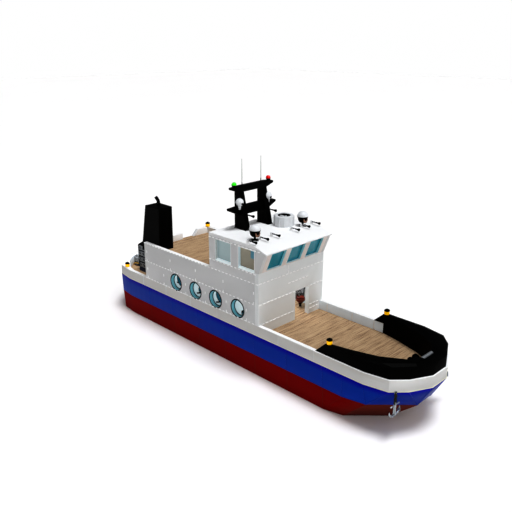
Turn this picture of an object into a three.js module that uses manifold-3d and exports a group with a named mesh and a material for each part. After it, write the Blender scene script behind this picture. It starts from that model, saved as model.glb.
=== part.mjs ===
// A work-style trawler yacht, 26.3 m long, as separate named pieces. Millimetres, +X forward, +Y port, +Z up.
// The origin lies under the middle of the hull, on its flat bottom.
import * as THREE from "three";
import { mergeVertices } from "three/addons/utils/BufferGeometryUtils.js";
import Module from "manifold-3d";

const wasm = await Module();
wasm.setup();

// Driving sizes
const GAP = 0.3; // left between pieces that touch
const HALF_LENGTH = 13150;
const HALF_BEAM = 2875;
const WALL = 250; // thickness of bulwarks and cabin walls
const INNER = HALF_BEAM - WALL;
const EDGE = INNER - GAP;

// Levels
const WATERLINE = 1364; // red below, blue above
const STRAKE = 2705; // bottom of the white strake
const DECK = 2763;
const CAP = 3373; // top of the main bulwark
const BOW_CAP = 3990; // top of the black bulwark at the bow
const UPPER_DECK = 5500;
const UPPER_DECK_THICK = 150;
const UPPER_CAP = 5948;
const SILL = 6588; // foot of the raked windscreen
const ROOF = 8179;
const ROOF_THICK = 200;

// Places along the ship
const HOUSE_AFT = -8000;
const HOUSE_FORE = 3100;
const WHEELHOUSE_AFT = -1140;
const FRONT_WALL = 300; // thickness of the front wall
const ROOF_BEND = 2765;
const VISOR_EDGE = 3705;
const VISOR_DROP = 290;
const VISOR_THICK = 90;
const RAKE = 0.4125; // forward lean of the windscreen, per unit of height
const SIDES = [
  ["starboard", -1],
  ["port", 1],
];

const STEEL = { roughness: 0.45, metalness: 0.1 };
const PAINT = {
  white: { color: 0xf4f4f4, ...STEEL },
  blue: { color: 0x00206e, ...STEEL },
  red: { color: 0x5a0000, ...STEEL },
  black: { color: 0x060606, ...STEEL },
  grey: { color: 0x8a8d90, ...STEEL },
  navy: { color: 0x101c34, ...STEEL },
  galvanised: { color: 0xb4b8ba, roughness: 0.4, metalness: 0.8 },
  bronze: { color: 0xa8803c, roughness: 0.3, metalness: 0.9 },
  wood: { color: 0xb89169, roughness: 0.7, metalness: 0 },
  glass: { color: 0x6f97a0, roughness: 0.05, metalness: 0 },
  leather: { color: 0x6e1e08, roughness: 0.5, metalness: 0 },
  amber: { color: 0xffbe00, roughness: 0.3, metalness: 0 },
  green: { color: 0x32e600, roughness: 0.3, metalness: 0 },
  signal_red: { color: 0xe60000, roughness: 0.3, metalness: 0 },
};

const yacht = new THREE.Group();

// A closed three.js geometry as a solid that can be joined and cut.
function solid(geometry) {
  const bare = new THREE.BufferGeometry();
  const source = geometry.index ? geometry.toNonIndexed() : geometry;
  bare.setAttribute("position", source.getAttribute("position"));
  const merged = mergeVertices(bare, 1e-3);
  const index = merged.index.array;
  const kept = [];
  for (let i = 0; i < index.length; i += 3) {
    const [a, b, c] = [index[i], index[i + 1], index[i + 2]];
    if (a !== b && b !== c && c !== a) kept.push(a, b, c);
  }
  return new wasm.Manifold(
    new wasm.Mesh({
      numProp: 3,
      vertProperties: merged.attributes.position.array,
      triVerts: new Uint32Array(kept),
    }),
  );
}

function join(...solids) {
  return solids.reduce((whole, piece) => whole.add(piece));
}

// Adds one solid to a group as a named mesh. A mesh in a moving group is given in that group's own frame.
function put(name, shape, paint, group = yacht) {
  const { vertProperties, triVerts } = shape.getMesh();
  const geometry = new THREE.BufferGeometry();
  geometry.setAttribute("position", new THREE.BufferAttribute(vertProperties, 3));
  geometry.setIndex(new THREE.BufferAttribute(triVerts, 1));
  const flat = geometry.toNonIndexed();
  flat.computeVertexNormals();
  const mesh = new THREE.Mesh(flat, new THREE.MeshStandardMaterial(PAINT[paint]));
  mesh.name = name;
  group.add(mesh);
  return mesh;
}

// A group placed at a pivot, for what turns or slides there.
function pivot(x, y, z) {
  const group = new THREE.Group();
  group.position.set(x, y, z);
  yacht.add(group);
  return group;
}

// A box between two bounds on each axis.
function box([x0, x1], [y0, y1], [z0, z1]) {
  const geometry = new THREE.BoxGeometry(x1 - x0, y1 - y0, z1 - z0);
  geometry.translate((x0 + x1) / 2, (y0 + y1) / 2, (z0 + z1) / 2);
  return solid(geometry);
}

function shapeOf(points) {
  return new THREE.Shape(points.map(([a, b]) => new THREE.Vector2(a, b)));
}

// A plan outline of (x, y) points, raised from z0 to z1. An inner outline makes it a ring.
function prismZ(points, z0, z1, inner) {
  const shape = shapeOf(points);
  if (inner) shape.holes.push(shapeOf(inner));
  const geometry = new THREE.ExtrudeGeometry(shape, { depth: z1 - z0, bevelEnabled: false });
  geometry.translate(0, 0, z0);
  return solid(geometry);
}

// A side profile of (x, z) points, extruded across the ship from y0 to y1.
function prismY(points, y0, y1) {
  const geometry = new THREE.ExtrudeGeometry(shapeOf(points), { depth: y1 - y0, bevelEnabled: false });
  geometry.rotateX(Math.PI / 2);
  geometry.translate(0, y1, 0);
  return solid(geometry);
}

// A front profile of (y, z) points, extruded along the ship from x0 to x1.
function prismX(points, x0, x1) {
  const geometry = new THREE.ExtrudeGeometry(shapeOf(points), { depth: x1 - x0, bevelEnabled: false });
  const turn = new THREE.Matrix4().set(0, 0, 1, x0, 1, 0, 0, 0, 0, 1, 0, 0, 0, 0, 0, 1);
  geometry.applyMatrix4(turn);
  return solid(geometry);
}

// Turns a geometry made about +Y so that it stands on a point and looks along a direction.
function aim(geometry, from, direction) {
  const turn = new THREE.Quaternion();
  turn.setFromUnitVectors(new THREE.Vector3(0, 1, 0), new THREE.Vector3(...direction).normalize());
  geometry.applyQuaternion(turn);
  geometry.translate(...from);
  return solid(geometry);
}

// A rod, or a cone with two radii, between two points.
function rod(from, to, radius, endRadius = radius, sides = 16) {
  const [a, b] = [new THREE.Vector3(...from), new THREE.Vector3(...to)];
  const along = b.clone().sub(a);
  const geometry = new THREE.CylinderGeometry(endRadius, radius, along.length(), sides);
  geometry.translate(0, along.length() / 2, 0);
  return aim(geometry, from, along.toArray());
}

// A turned piece: (radius, distance) points about a direction from a point.
function turned(profile, from, direction, sides = 24) {
  const points = profile.map(([r, d]) => new THREE.Vector2(r, d));
  return aim(new THREE.LatheGeometry(points, sides), from, direction);
}

function ball(centre, radius, sides = 16) {
  const geometry = new THREE.SphereGeometry(radius, sides, sides / 2);
  geometry.translate(...centre);
  return solid(geometry);
}

// A whole outline from its port half, a run of (x, y) points from stern to bow.
function wholeOutline(half) {
  const starboard = half.map(([x, y]) => [x, -y]);
  return [...starboard, ...half.slice().reverse()];
}

// A solid through outlines with the same number of points, each [z, points], lowest first.
function loft(levels) {
  const rings = levels.map(([z, points]) => points.map(([x, y]) => [x, y, z]));
  const count = rings[0].length;
  const triangles = [];
  for (let level = 0; level + 1 < rings.length; level++) {
    const [low, high] = [rings[level], rings[level + 1]];
    for (let i = 0; i < count; i++) {
      const j = (i + 1) % count;
      triangles.push(low[i], low[j], high[j], low[i], high[j], high[i]);
    }
  }
  const cap = THREE.ShapeUtils.triangulateShape(
    levels[0][1].map(([x, y]) => new THREE.Vector2(x, y)),
    [],
  );
  for (const [a, b, c] of cap) triangles.push(rings[0][a], rings[0][c], rings[0][b]);
  const top = rings[rings.length - 1];
  const lid = THREE.ShapeUtils.triangulateShape(
    top.map(([x, y]) => new THREE.Vector2(x, y)),
    [],
  );
  for (const [a, b, c] of lid) triangles.push(top[a], top[b], top[c]);
  const geometry = new THREE.BufferGeometry();
  geometry.setAttribute("position", new THREE.Float32BufferAttribute(triangles.flat(), 3));
  return solid(geometry);
}

// Hull stations from stern to bow on the port side. Columns: x and y at the flat bottom, at the waterline
// and at the strake. Where one facet tapers to a corner, two stations share that corner.
const STATIONS = [
  { bottom: [-13040, 450], water: [-13110, 480], strake: [-13150, 500] },
  { bottom: [-12690, 1230], water: [-12765, 1275], strake: [-12800, 1300] },
  { bottom: [-12060, 1960], water: [-12120, 2020], strake: [-12150, 2050] },
  { bottom: [-11350, 2550], water: [-11385, 2625], strake: [-11400, 2660] },
  { bottom: [-10080, 2720], water: [-10090, 2830], strake: [-10100, HALF_BEAM] },
  { bottom: [7920, 2700], water: [9200, 2800], strake: [9200, HALF_BEAM] },
  { bottom: [9070, 2430], water: [10500, 2520], strake: [10500, HALF_BEAM] },
  { bottom: [9070, 2430], water: [10500, 2520], strake: [11850, 2600] },
  { bottom: [10850, 660], water: [12400, 650], strake: [12550, 1870] },
  { bottom: [10850, 660], water: [12400, 650], strake: [HALF_LENGTH, 660] },
];
const outlineAt = (level) => wholeOutline(STATIONS.map((station) => station[level]));
const STRAKE_OUTLINE = outlineAt("strake");

// Inner edge of the white bulwark on the port side: thick round the stern, a thin lip round the bow,
// where the black bulwark stands inside it.
const BOW_LIP = 80;
const BOW_START = 7950; // aft end of the black bulwark on deck
const BULWARK_INNER = [
  [-12640, 380],
  [-12560, 780],
  [-12190, 1260],
  [-11680, 1760],
  [-10580, 2420],
  [-9800, INNER],
  [BOW_START, INNER],
  [BOW_START, HALF_BEAM - BOW_LIP],
  [10490, HALF_BEAM - BOW_LIP],
  [11800, 2530],
  [12475, 1825],
  [HALF_LENGTH - BOW_LIP, 640],
];
// A closed outline, anticlockwise, drawn in by a distance on every side.
function drawnIn(points, by) {
  const count = points.length;
  const normal = ([ax, ay], [bx, by2]) => {
    const length = Math.hypot(bx - ax, by2 - ay);
    return [-(by2 - ay) / length, (bx - ax) / length];
  };
  return points.map((point, i) => {
    const [ux, uy] = normal(points[(i + count - 1) % count], point);
    const [vx, vy] = normal(point, points[(i + 1) % count]);
    const scale = by / (1 + ux * vx + uy * vy);
    return [point[0] + (ux + vx) * scale, point[1] + (uy + vy) * scale];
  });
}
const INSIDE = wholeOutline(BULWARK_INNER);

// Red bottom with a tunnel at the stern for the propeller and rudder, and the stern tube.
const SHAFT_Z = 640;
const TUNNEL_HALF = 850;
const TUNNEL_ROOF = 1250;
const TUNNEL_FACE = -10600; // where the tunnel roof meets its sloping front
const TUNNEL_FOOT = -9600;
const TUBE_END = -10900;
const SHAFT_RADIUS = 60;
function hullBottom() {
  const shape = loft([
    [0, outlineAt("bottom")],
    [WATERLINE, outlineAt("water")],
  ]);
  const tunnel = prismY(
    [
      [-HALF_LENGTH - 50, -50],
      [TUNNEL_FOOT + 50, -50],
      [TUNNEL_FOOT, 0],
      [TUNNEL_FACE, TUNNEL_ROOF],
      [-HALF_LENGTH - 50, TUNNEL_ROOF],
    ],
    -TUNNEL_HALF,
    TUNNEL_HALF,
  );
  const tube = rod([-9900, 0, SHAFT_Z], [TUBE_END, 0, SHAFT_Z], 130, 130, 24);
  const bore = rod([TUBE_END + 250, 0, SHAFT_Z], [TUBE_END - 10, 0, SHAFT_Z], 62, 62, 24);
  return join(shape.subtract(tunnel), tube).subtract(bore);
}
put("hull_bottom", hullBottom(), "red");

put(
  "hull_topsides",
  loft([
    [WATERLINE + GAP, outlineAt("water")],
    [STRAKE - GAP, outlineAt("strake")],
  ]),
  "blue",
);

put("main_bulwark", prismZ(STRAKE_OUTLINE, STRAKE, CAP, INSIDE), "white");
put("main_deck", prismZ(drawnIn(INSIDE, GAP), STRAKE, DECK), "wood");

// Black bulwark at the bow: on the deck inside the white lip, and on the white cap further aft, where its
// top runs down in a ramp. A notch at the stem holds the bow roller.
const WELL_SIDE = 2620;
const BOW_WELL = [
  [BOW_START - 500, WELL_SIDE],
  [BOW_START, WELL_SIDE],
  [9270, 2330],
  [10700, 1900],
  [11900, 1150],
  [12250, 450],
];
const RAMP_START = 7300;
const ROLLER = { x: 12300, z: 3900, radius: 110, half: 475, pin: 40 };
const NOTCH_CLEAR = 8;
function bowBulwark() {
  const ahead = box([BOW_START + GAP, HALF_LENGTH], [-HALF_BEAM, HALF_BEAM], [DECK, BOW_CAP + 10]);
  const well = prismZ(wholeOutline(BOW_WELL), DECK, BOW_CAP + 10);
  let shape = prismZ(drawnIn(INSIDE, GAP), DECK + GAP, BOW_CAP).intersect(ahead).subtract(well);
  for (const side of [-1, 1]) {
    const [y0, y1] = [side * (WELL_SIDE - 20), side * (HALF_BEAM - BOW_LIP - GAP)].sort((a, b) => a - b);
    const ramp = prismY(
      [
        [RAMP_START, CAP + GAP],
        [BOW_START + 400, CAP + GAP],
        [BOW_START + 400, BOW_CAP],
        [BOW_START, BOW_CAP],
      ],
      y0,
      y1,
    );
    shape = shape.add(ramp);
  }
  const notch = box(
    [12000, ROLLER.x + ROLLER.radius + 50],
    [-ROLLER.half - NOTCH_CLEAR, ROLLER.half + NOTCH_CLEAR],
    [ROLLER.z - ROLLER.radius - 60, BOW_CAP + 10],
  );
  const reach = ROLLER.half + NOTCH_CLEAR + 60;
  const bore = rod([ROLLER.x, -reach, ROLLER.z], [ROLLER.x, reach, ROLLER.z], ROLLER.pin + 2, ROLLER.pin + 2);
  return shape.subtract(notch).subtract(bore);
}
put("bow_bulwark", bowBulwark(), "black");

const rollerAxle = pivot(ROLLER.x, 0, ROLLER.z);
const rollerReach = ROLLER.half + NOTCH_CLEAR + 60 - GAP;
put(
  "bow_roller",
  join(
    rod([0, -ROLLER.half, 0], [0, ROLLER.half, 0], ROLLER.radius, ROLLER.radius, 20),
    rod([0, -rollerReach, 0], [0, rollerReach, 0], ROLLER.pin),
  ),
  "galvanised",
  rollerAxle,
);

// Deckhouse sides with the four round ports cut through. They run up to the cap of the upper bulwark.
const PORTS = { x: [-4570, -2580, -650, 1340], z: 3950, radius: 560, sides: 24 };
for (const [name, side] of SIDES) {
  const [y0, y1] = side < 0 ? [-HALF_BEAM, -INNER] : [INNER, HALF_BEAM];
  let wall = box([HOUSE_AFT, HOUSE_FORE - FRONT_WALL - GAP], [y0, y1], [CAP + GAP, UPPER_CAP]);
  const profile = [
    [0, 5],
    [PORTS.radius - GAP, 5],
    [PORTS.radius - GAP, WALL - 10],
    [PORTS.radius - 60, WALL - 10],
    [PORTS.radius - 60, 25],
    [0, 25],
  ];
  PORTS.x.forEach((x, i) => {
    const hole = rod([x, y0 - 10, PORTS.z], [x, y1 + 10, PORTS.z], PORTS.radius, PORTS.radius, PORTS.sides);
    wall = wall.subtract(hole);
    put(
      `porthole_${name}_${i + 1}`,
      turned(profile, [x, side * INNER, PORTS.z], [0, side, 0], PORTS.sides),
      "glass",
    );
  });
  put(`deckhouse_side_${name}`, wall, "white");
}

// Aft wall of the deckhouse with its doorway, and the ladder fixed to it.
const AFT_DOOR = { hinge: -1300, width: 850, sill: 2860, height: 1900, thick: 60 };
const LADDER = { y: 800, half: 230, x: HOUSE_AFT - 150, step: 300, rail: 25 };
function doorway(door, aft) {
  return box(
    [aft - 10, aft + WALL + 10],
    [door.hinge, door.hinge + door.width],
    [door.sill, door.sill + door.height],
  );
}
function aftWall() {
  const ceiling = UPPER_DECK - UPPER_DECK_THICK - GAP;
  let wall = box([HOUSE_AFT, HOUSE_AFT + WALL], [-EDGE, EDGE], [DECK + GAP, ceiling]);
  wall = wall.subtract(doorway(AFT_DOOR, HOUSE_AFT));
  const foot = DECK + GAP;
  const head = UPPER_DECK - 200;
  for (const y of [LADDER.y - LADDER.half, LADDER.y + LADDER.half]) {
    const stile = box([LADDER.x - 20, LADDER.x + 20], [y - LADDER.rail, y + LADDER.rail], [foot, head]);
    const lug = box([LADDER.x, HOUSE_AFT + 10], [y - LADDER.rail, y + LADDER.rail], [head - 60, head]);
    wall = join(wall, stile, lug);
  }
  for (let z = foot + LADDER.step; z < head; z += LADDER.step) {
    const [a, b] = [LADDER.y - LADDER.half, LADDER.y + LADDER.half];
    wall = wall.add(rod([LADDER.x, a, z], [LADDER.x, b, z], 16, 16, 8));
  }
  return wall;
}
put("deckhouse_aft_wall", aftWall(), "white");

// A door leaf hung on its edge: its own frame has the hinge line at the origin and the leaf along +Y.
const DOOR_CLEAR = 6;
const HINGE_RADIUS = 18;
const HANDLE = { out: -80, fromEdge: 120, grip: 140, height: 900, radius: 12 };
function doorLeaf(door) {
  const leaf = box(
    [-10, door.thick - 10],
    [DOOR_CLEAR + 12, door.width - DOOR_CLEAR - 12],
    [DOOR_CLEAR, door.height - DOOR_CLEAR],
  );
  const barrel = rod([-22, 20, GAP], [-22, 20, door.height - GAP], HINGE_RADIUS, HINGE_RADIUS, 12);
  const root = [HANDLE.out, door.width - HANDLE.fromEdge, HANDLE.height];
  const handle = join(
    rod(root, [10, root[1], root[2]], HANDLE.radius, HANDLE.radius, 8),
    rod(root, [root[0], root[1] - HANDLE.grip, root[2]], HANDLE.radius, HANDLE.radius, 8),
  );
  return join(leaf, barrel, handle);
}
const aftDoorHinge = pivot(HOUSE_AFT + 40, AFT_DOOR.hinge, AFT_DOOR.sill);
put("aft_door", doorLeaf(AFT_DOOR), "white", aftDoorHinge);

// Front wall with the open doorway, the rail that its sliding door hangs on, and the helm console.
const DOORWAY = { y: [287, 1569], head: 4667 };
const WALL_INSIDE = HOUSE_FORE - FRONT_WALL;
const SLIDER = { x: [WALL_INSIDE - 70, WALL_INSIDE - 20], y: [-1150, 260], z: [DECK + 12, 4740] };
const SLIDER_TRAVEL = 1370;
function frontWall() {
  const inside = WALL_INSIDE;
  const lower = box([inside, HOUSE_FORE], [-EDGE, EDGE], [DECK + GAP, CAP + 10]);
  const upper = box([inside, HOUSE_FORE], [-HALF_BEAM, HALF_BEAM], [CAP + GAP, SILL]);
  const hole = box([inside - 10, HOUSE_FORE + 10], DOORWAY.y, [DECK, DOORWAY.head]);
  const rail = box(
    [inside - 90, inside + 10],
    [SLIDER.y[0] - 20, SLIDER.y[1] + SLIDER_TRAVEL + 20],
    [SLIDER.z[1] + GAP, SLIDER.z[1] + 80],
  );
  return join(lower, upper).subtract(hole).add(rail);
}
put("front_wall", frontWall(), "white");
const sliderRunner = pivot((SLIDER.x[0] + SLIDER.x[1]) / 2, SLIDER.y[0], SLIDER.z[0]);
put(
  "front_door",
  box([-25, 25], [0, SLIDER.y[1] - SLIDER.y[0]], [0, SLIDER.z[1] - SLIDER.z[0]]),
  "white",
  sliderRunner,
);

// Upper deck between the deckhouse sides, and the two lengths of bulwark at its aft edge.
put(
  "upper_deck",
  box(
    [HOUSE_AFT, HOUSE_FORE - FRONT_WALL - GAP],
    [-EDGE, EDGE],
    [UPPER_DECK - UPPER_DECK_THICK, UPPER_DECK],
  ),
  "wood",
);
const GATE = [300, 1300]; // opening in the aft bulwark, over the ladder
put(
  "upper_bulwark_starboard",
  prismX(
    [
      [-1390, UPPER_DECK + GAP],
      [GATE[0], UPPER_DECK + GAP],
      [GATE[0], UPPER_CAP],
      [-1390, UPPER_CAP],
    ],
    HOUSE_AFT,
    HOUSE_AFT + WALL,
  ),
  "white",
);
put(
  "upper_bulwark_port",
  prismX(
    [
      [GATE[1], UPPER_DECK + GAP],
      [EDGE, UPPER_DECK + GAP],
      [EDGE, UPPER_CAP],
      [GATE[1] + 440, UPPER_CAP],
    ],
    HOUSE_AFT,
    HOUSE_AFT + WALL,
  ),
  "white",
);

// Wheelhouse sides. Each follows the raked windscreen and the sloping visor.
const SIDE_WINDOWS = [
  { name: "aft", x: [-540, 790], z: [6550, 7860] },
  { name: "fore", x: [1450, 2750], z: [6570, 7860] },
];
const PANE = 24;
const visorTop = (x) => ROOF - ((x - ROOF_BEND) * VISOR_DROP) / (VISOR_EDGE - ROOF_BEND);
const visorUnder = (x) => visorTop(x) - VISOR_THICK;
// Where the visor's underside meets the flat ceiling.
const CEILING = ROOF - ROOF_THICK;
const CEILING_FORE = ROOF_BEND + ((ROOF_THICK - VISOR_THICK) * (VISOR_EDGE - ROOF_BEND)) / VISOR_DROP;
// Front line of the windscreen, where it meets the visor.
const rakeX = (z) => HOUSE_FORE + (z - SILL) * RAKE;
const SCREEN_TOP = 7815;
for (const [name, side] of SIDES) {
  const [y0, y1] = side < 0 ? [-HALF_BEAM, -INNER] : [INNER, HALF_BEAM];
  const inside = HOUSE_FORE - FRONT_WALL - GAP;
  let wall = prismY(
    [
      [WHEELHOUSE_AFT, UPPER_CAP + GAP],
      [inside, UPPER_CAP + GAP],
      [inside, SILL + GAP],
      [HOUSE_FORE, SILL + GAP],
      [rakeX(SCREEN_TOP), SCREEN_TOP],
      [rakeX(SCREEN_TOP), visorUnder(rakeX(SCREEN_TOP)) - GAP],
      [CEILING_FORE, CEILING - GAP],
      [WHEELHOUSE_AFT, CEILING - GAP],
    ],
    y0,
    y1,
  );
  for (const { name: place, x, z } of SIDE_WINDOWS) {
    wall = wall.subtract(box(x, [y0 - 10, y1 + 10], z));
    const middle = side * (INNER + 70);
    put(
      `side_window_${name}_${place}`,
      box(
        [x[0] + GAP, x[1] - GAP],
        [middle - PANE / 2, middle + PANE / 2],
        [z[0] + GAP, z[1] - GAP],
      ),
      "glass",
    );
  }
  put(`wheelhouse_side_${name}`, wall, "white");
}

// Wheelhouse aft wall with its doorway and door.
const WHEELHOUSE_DOOR = { hinge: -425, width: 850, sill: 5600, height: 1900, thick: 60 };
function wheelhouseAftWall() {
  const wall = box(
    [WHEELHOUSE_AFT, WHEELHOUSE_AFT + WALL],
    [-EDGE, EDGE],
    [UPPER_DECK + GAP, CEILING - GAP],
  );
  return wall.subtract(doorway(WHEELHOUSE_DOOR, WHEELHOUSE_AFT));
}
put("wheelhouse_aft_wall", wheelhouseAftWall(), "white");
const wheelhouseDoorHinge = pivot(WHEELHOUSE_AFT + 40, WHEELHOUSE_DOOR.hinge, WHEELHOUSE_DOOR.sill);
put("wheelhouse_door", doorLeaf(WHEELHOUSE_DOOR), "white", wheelhouseDoorHinge);

// Raked windscreen: a frame with three openings and one sheet of glass behind it.
const SCREEN = { thick: 150, half: 600, centres: [-1650, 0, 1650], low: 6650, high: 7740 };
function rakedSlab(front, thick, low, y0, y1) {
  return prismY(
    [
      [rakeX(low) - front, low],
      [rakeX(SCREEN_TOP) - front, visorUnder(rakeX(SCREEN_TOP) - front) - GAP],
      [rakeX(SCREEN_TOP) - front - thick, visorUnder(rakeX(SCREEN_TOP) - front - thick) - GAP],
      [rakeX(low) - front - thick, low],
    ].reverse(),
    y0,
    y1,
  );
}
function windscreenFrame() {
  let frame = rakedSlab(GAP, SCREEN.thick, SILL + GAP, -EDGE, EDGE);
  for (const y of SCREEN.centres) {
    const cut = prismY(
      [
        [rakeX(SCREEN.low) - 400, SCREEN.low],
        [rakeX(SCREEN.low) + 200, SCREEN.low],
        [rakeX(SCREEN.high) + 200, SCREEN.high],
        [rakeX(SCREEN.high) - 400, SCREEN.high],
      ],
      y - SCREEN.half,
      y + SCREEN.half,
    );
    frame = frame.subtract(cut);
  }
  return frame;
}
put("windscreen_frame", windscreenFrame(), "white");
put(
  "windscreen_glass",
  rakedSlab(SCREEN.thick + 2 * GAP, PANE, SILL + GAP, -2350, 2350),
  "glass",
);

// Roof with its visor, six horns and the two searchlight feet.
const HORNS = { y: [-2750, -1800, -850, 850, 1800, 2750], x: 2140, z: 8350, length: 660 };
const LAMPS = { x: 2000, y: 2070, foot: 8260, brim: 490, face: { drop: 190, radius: 160, out: 270 } };
function horn(x, y, z, length) {
  const profile = [
    [0, 0],
    [34, 0],
    [34, length * 0.6],
    [85, length],
    [0, length],
  ];
  return turned(profile, [x, y, z], [1, 0, 0], 12);
}
function roof() {
  let shape = prismY(
    [
      [WHEELHOUSE_AFT, CEILING],
      [CEILING_FORE, CEILING],
      [VISOR_EDGE, visorUnder(VISOR_EDGE)],
      [VISOR_EDGE, visorTop(VISOR_EDGE)],
      [ROOF_BEND, ROOF],
      [WHEELHOUSE_AFT, ROOF],
    ],
    -HALF_BEAM,
    HALF_BEAM,
  );
  for (const y of HORNS.y) {
    shape = join(
      shape,
      rod([HORNS.x, y, ROOF - 20], [HORNS.x, y, HORNS.z + 40], 75, 75, 12),
      horn(HORNS.x, y, HORNS.z, HORNS.length),
    );
  }
  for (const y of [-LAMPS.y, LAMPS.y]) {
    shape = join(
      shape,
      box([LAMPS.x - 260, LAMPS.x + 260], [y - 45, y + 45], [ROOF - 20, ROOF + 40]),
      box([LAMPS.x - 45, LAMPS.x + 45], [y - 260, y + 260], [ROOF - 20, ROOF + 40]),
      rod([LAMPS.x, y, ROOF - 20], [LAMPS.x, y, LAMPS.foot], 90, 70, 16),
    );
  }
  return shape;
}
put("roof", roof(), "white");

// Searchlights: a bowl under a tall domed cap, with the lamp's face under the cap's brim. Columns: radius and
// height from the brim.
const LAMP_PROFILE = [
  [0, -370],
  [150, -340],
  [270, -200],
  [300, 0],
  [340, 0],
  [330, 130],
  [250, 270],
  [120, 350],
  [0, 370],
];
for (const [name, side] of SIDES) {
  const { drop, radius, out } = LAMPS.face;
  const face = [
    [0, 0],
    [radius, 0],
    [radius, out],
    [0, out],
  ];
  put(
    `searchlight_${name}`,
    join(
      rod([0, 0, GAP], [0, 0, LAMPS.brim - 330], 60, 60, 16),
      turned(LAMP_PROFILE, [0, 0, LAMPS.brim], [0, 0, 1], 20),
      turned(face, [0, 0, LAMPS.brim - drop], [1, 0, 0], 20),
    ),
    "white",
    pivot(LAMPS.x, side * LAMPS.y, LAMPS.foot),
  );
}

// Radar drum: a tub with a well, and the scanner that turns in it.
const RADAR = { x: 1050, y: 1400, radius: 620, height: 650, well: 400, floor: 300, bar: [190, 280] };
put(
  "radar_drum",
  turned(
    [
      [0, 0],
      [RADAR.radius, 0],
      [RADAR.radius, RADAR.height],
      [RADAR.well, RADAR.height],
      [RADAR.well, RADAR.floor],
      [0, RADAR.floor],
    ],
    [RADAR.x, RADAR.y, ROOF + GAP],
    [0, 0, 1],
    32,
  ),
  "white",
);
const scannerAxle = pivot(RADAR.x, RADAR.y, ROOF + 2 * GAP + RADAR.floor);
put(
  "radar_scanner",
  join(
    rod([0, 0, 0], [0, 0, RADAR.bar[0] + 20], 60),
    box([-330, 330], [-55, 55], RADAR.bar),
    box([0, 55], [-200, 200], RADAR.bar),
  ),
  "white",
  scannerAxle,
);

// Mast: two tapering legs, two yards with drawn-out tips, whips, two horns and two cameras.
const MAST = { aft: -680, fore: 300, foreTop: -240, top: 10500, leg: [780, 1150] };
const YARDS = [
  { x: [-560, -150], tip: 1900, low: 9050, tipLow: 9400, tipHigh: 9520, high: 9570 },
  { x: [-560, -200], tip: 1720, low: 10450, tipLow: 10640, tipHigh: 10760, high: 10820 },
];
const LIGHT = { x: -380, y: 1450, z: 10940, radius: 150 };
function mast() {
  const [inner, outer] = MAST.leg;
  const side = [
    [MAST.aft, ROOF + GAP],
    [MAST.fore, ROOF + GAP],
    [MAST.foreTop, MAST.top],
    [MAST.aft, MAST.top],
  ];
  let shape = prismY(side, inner, outer).add(prismY(side, -outer, -inner));
  for (const { x, tip, low, tipLow, tipHigh, high } of YARDS) {
    const profile = [
      [-tip, tipLow],
      [-outer, low],
      [outer, low],
      [tip, tipLow],
      [tip, tipHigh],
      [outer, high],
      [-outer, high],
      [-tip, tipHigh],
    ];
    shape = shape.add(prismX(profile, ...x));
  }
  for (const way of [-1, 1]) {
    const y = way * 965;
    shape = join(
      shape,
      rod([-380, way * 800, 10700], [-380, way * 800, 12400], 22, 14, 8),
      horn(0, y, 9120, 780),
      rod([-200, way * 1220, 9450], [-150, way * 1220, 9700], 110, 110, 12),
      ball([-150, way * 1220, 9880], 240, 12),
    );
  }
  return shape;
}
put("mast", mast(), "black");
for (const [name, side, paint] of [
  ["starboard", -1, "green"],
  ["port", 1, "signal_red"],
]) {
  const yard = YARDS[1];
  const slope = (yard.high - yard.tipHigh) / (yard.tip - MAST.leg[1]);
  const seat = yard.high - slope * (LIGHT.y - MAST.leg[1]);
  const foot = seat + slope * 60 + GAP;
  put(
    `sidelight_${name}`,
    join(
      ball([LIGHT.x, side * LIGHT.y, LIGHT.z], LIGHT.radius),
      rod([LIGHT.x, side * LIGHT.y, foot], [LIGHT.x, side * LIGHT.y, LIGHT.z], 60),
    ),
    paint,
  );
}

// Funnel and its exhaust pipe, on the starboard aft corner of the upper deck. It overhangs the aft wall, and
// a knee under the overhang stands against that wall.
const FUNNEL = {
  x: [-8600, -6650],
  y: [-EDGE, -1400],
  top: 8500,
  topX: [-8030, -6480],
  topY: [-2580, -1500],
  knee: 4900,
};
const EXHAUST = { x: -7460, y: -1880, radius: 110, rise: 300, aft: 200, out: 50, tip: 520 };
const rectangle = ([x0, x1], [y0, y1]) => [
  [x0, y0],
  [x1, y0],
  [x1, y1],
  [x0, y1],
];
function funnel() {
  const body = loft([
    [UPPER_DECK + GAP, rectangle(FUNNEL.x, FUNNEL.y)],
    [FUNNEL.top, rectangle(FUNNEL.topX, FUNNEL.topY)],
  ]);
  const wall = HOUSE_AFT - GAP;
  const knee = prismY(
    [
      [wall, FUNNEL.knee],
      [wall, UPPER_DECK + 10],
      [FUNNEL.x[0], UPPER_DECK + 10],
      [FUNNEL.x[0], UPPER_DECK - 120],
    ],
    FUNNEL.y[0],
    FUNNEL.y[1],
  );
  const { x, y, radius, rise, aft, out, tip } = EXHAUST;
  const bend = [x, y, FUNNEL.top + rise];
  const end = [x - aft, y - out, FUNNEL.top + tip];
  return join(
    body,
    knee,
    rod([x, y, FUNNEL.top - 50], bend, radius, radius, 12),
    rod([x, y, bend[2] - 30], end, radius, radius, 12),
  );
}
put("funnel", funnel(), "black");

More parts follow.
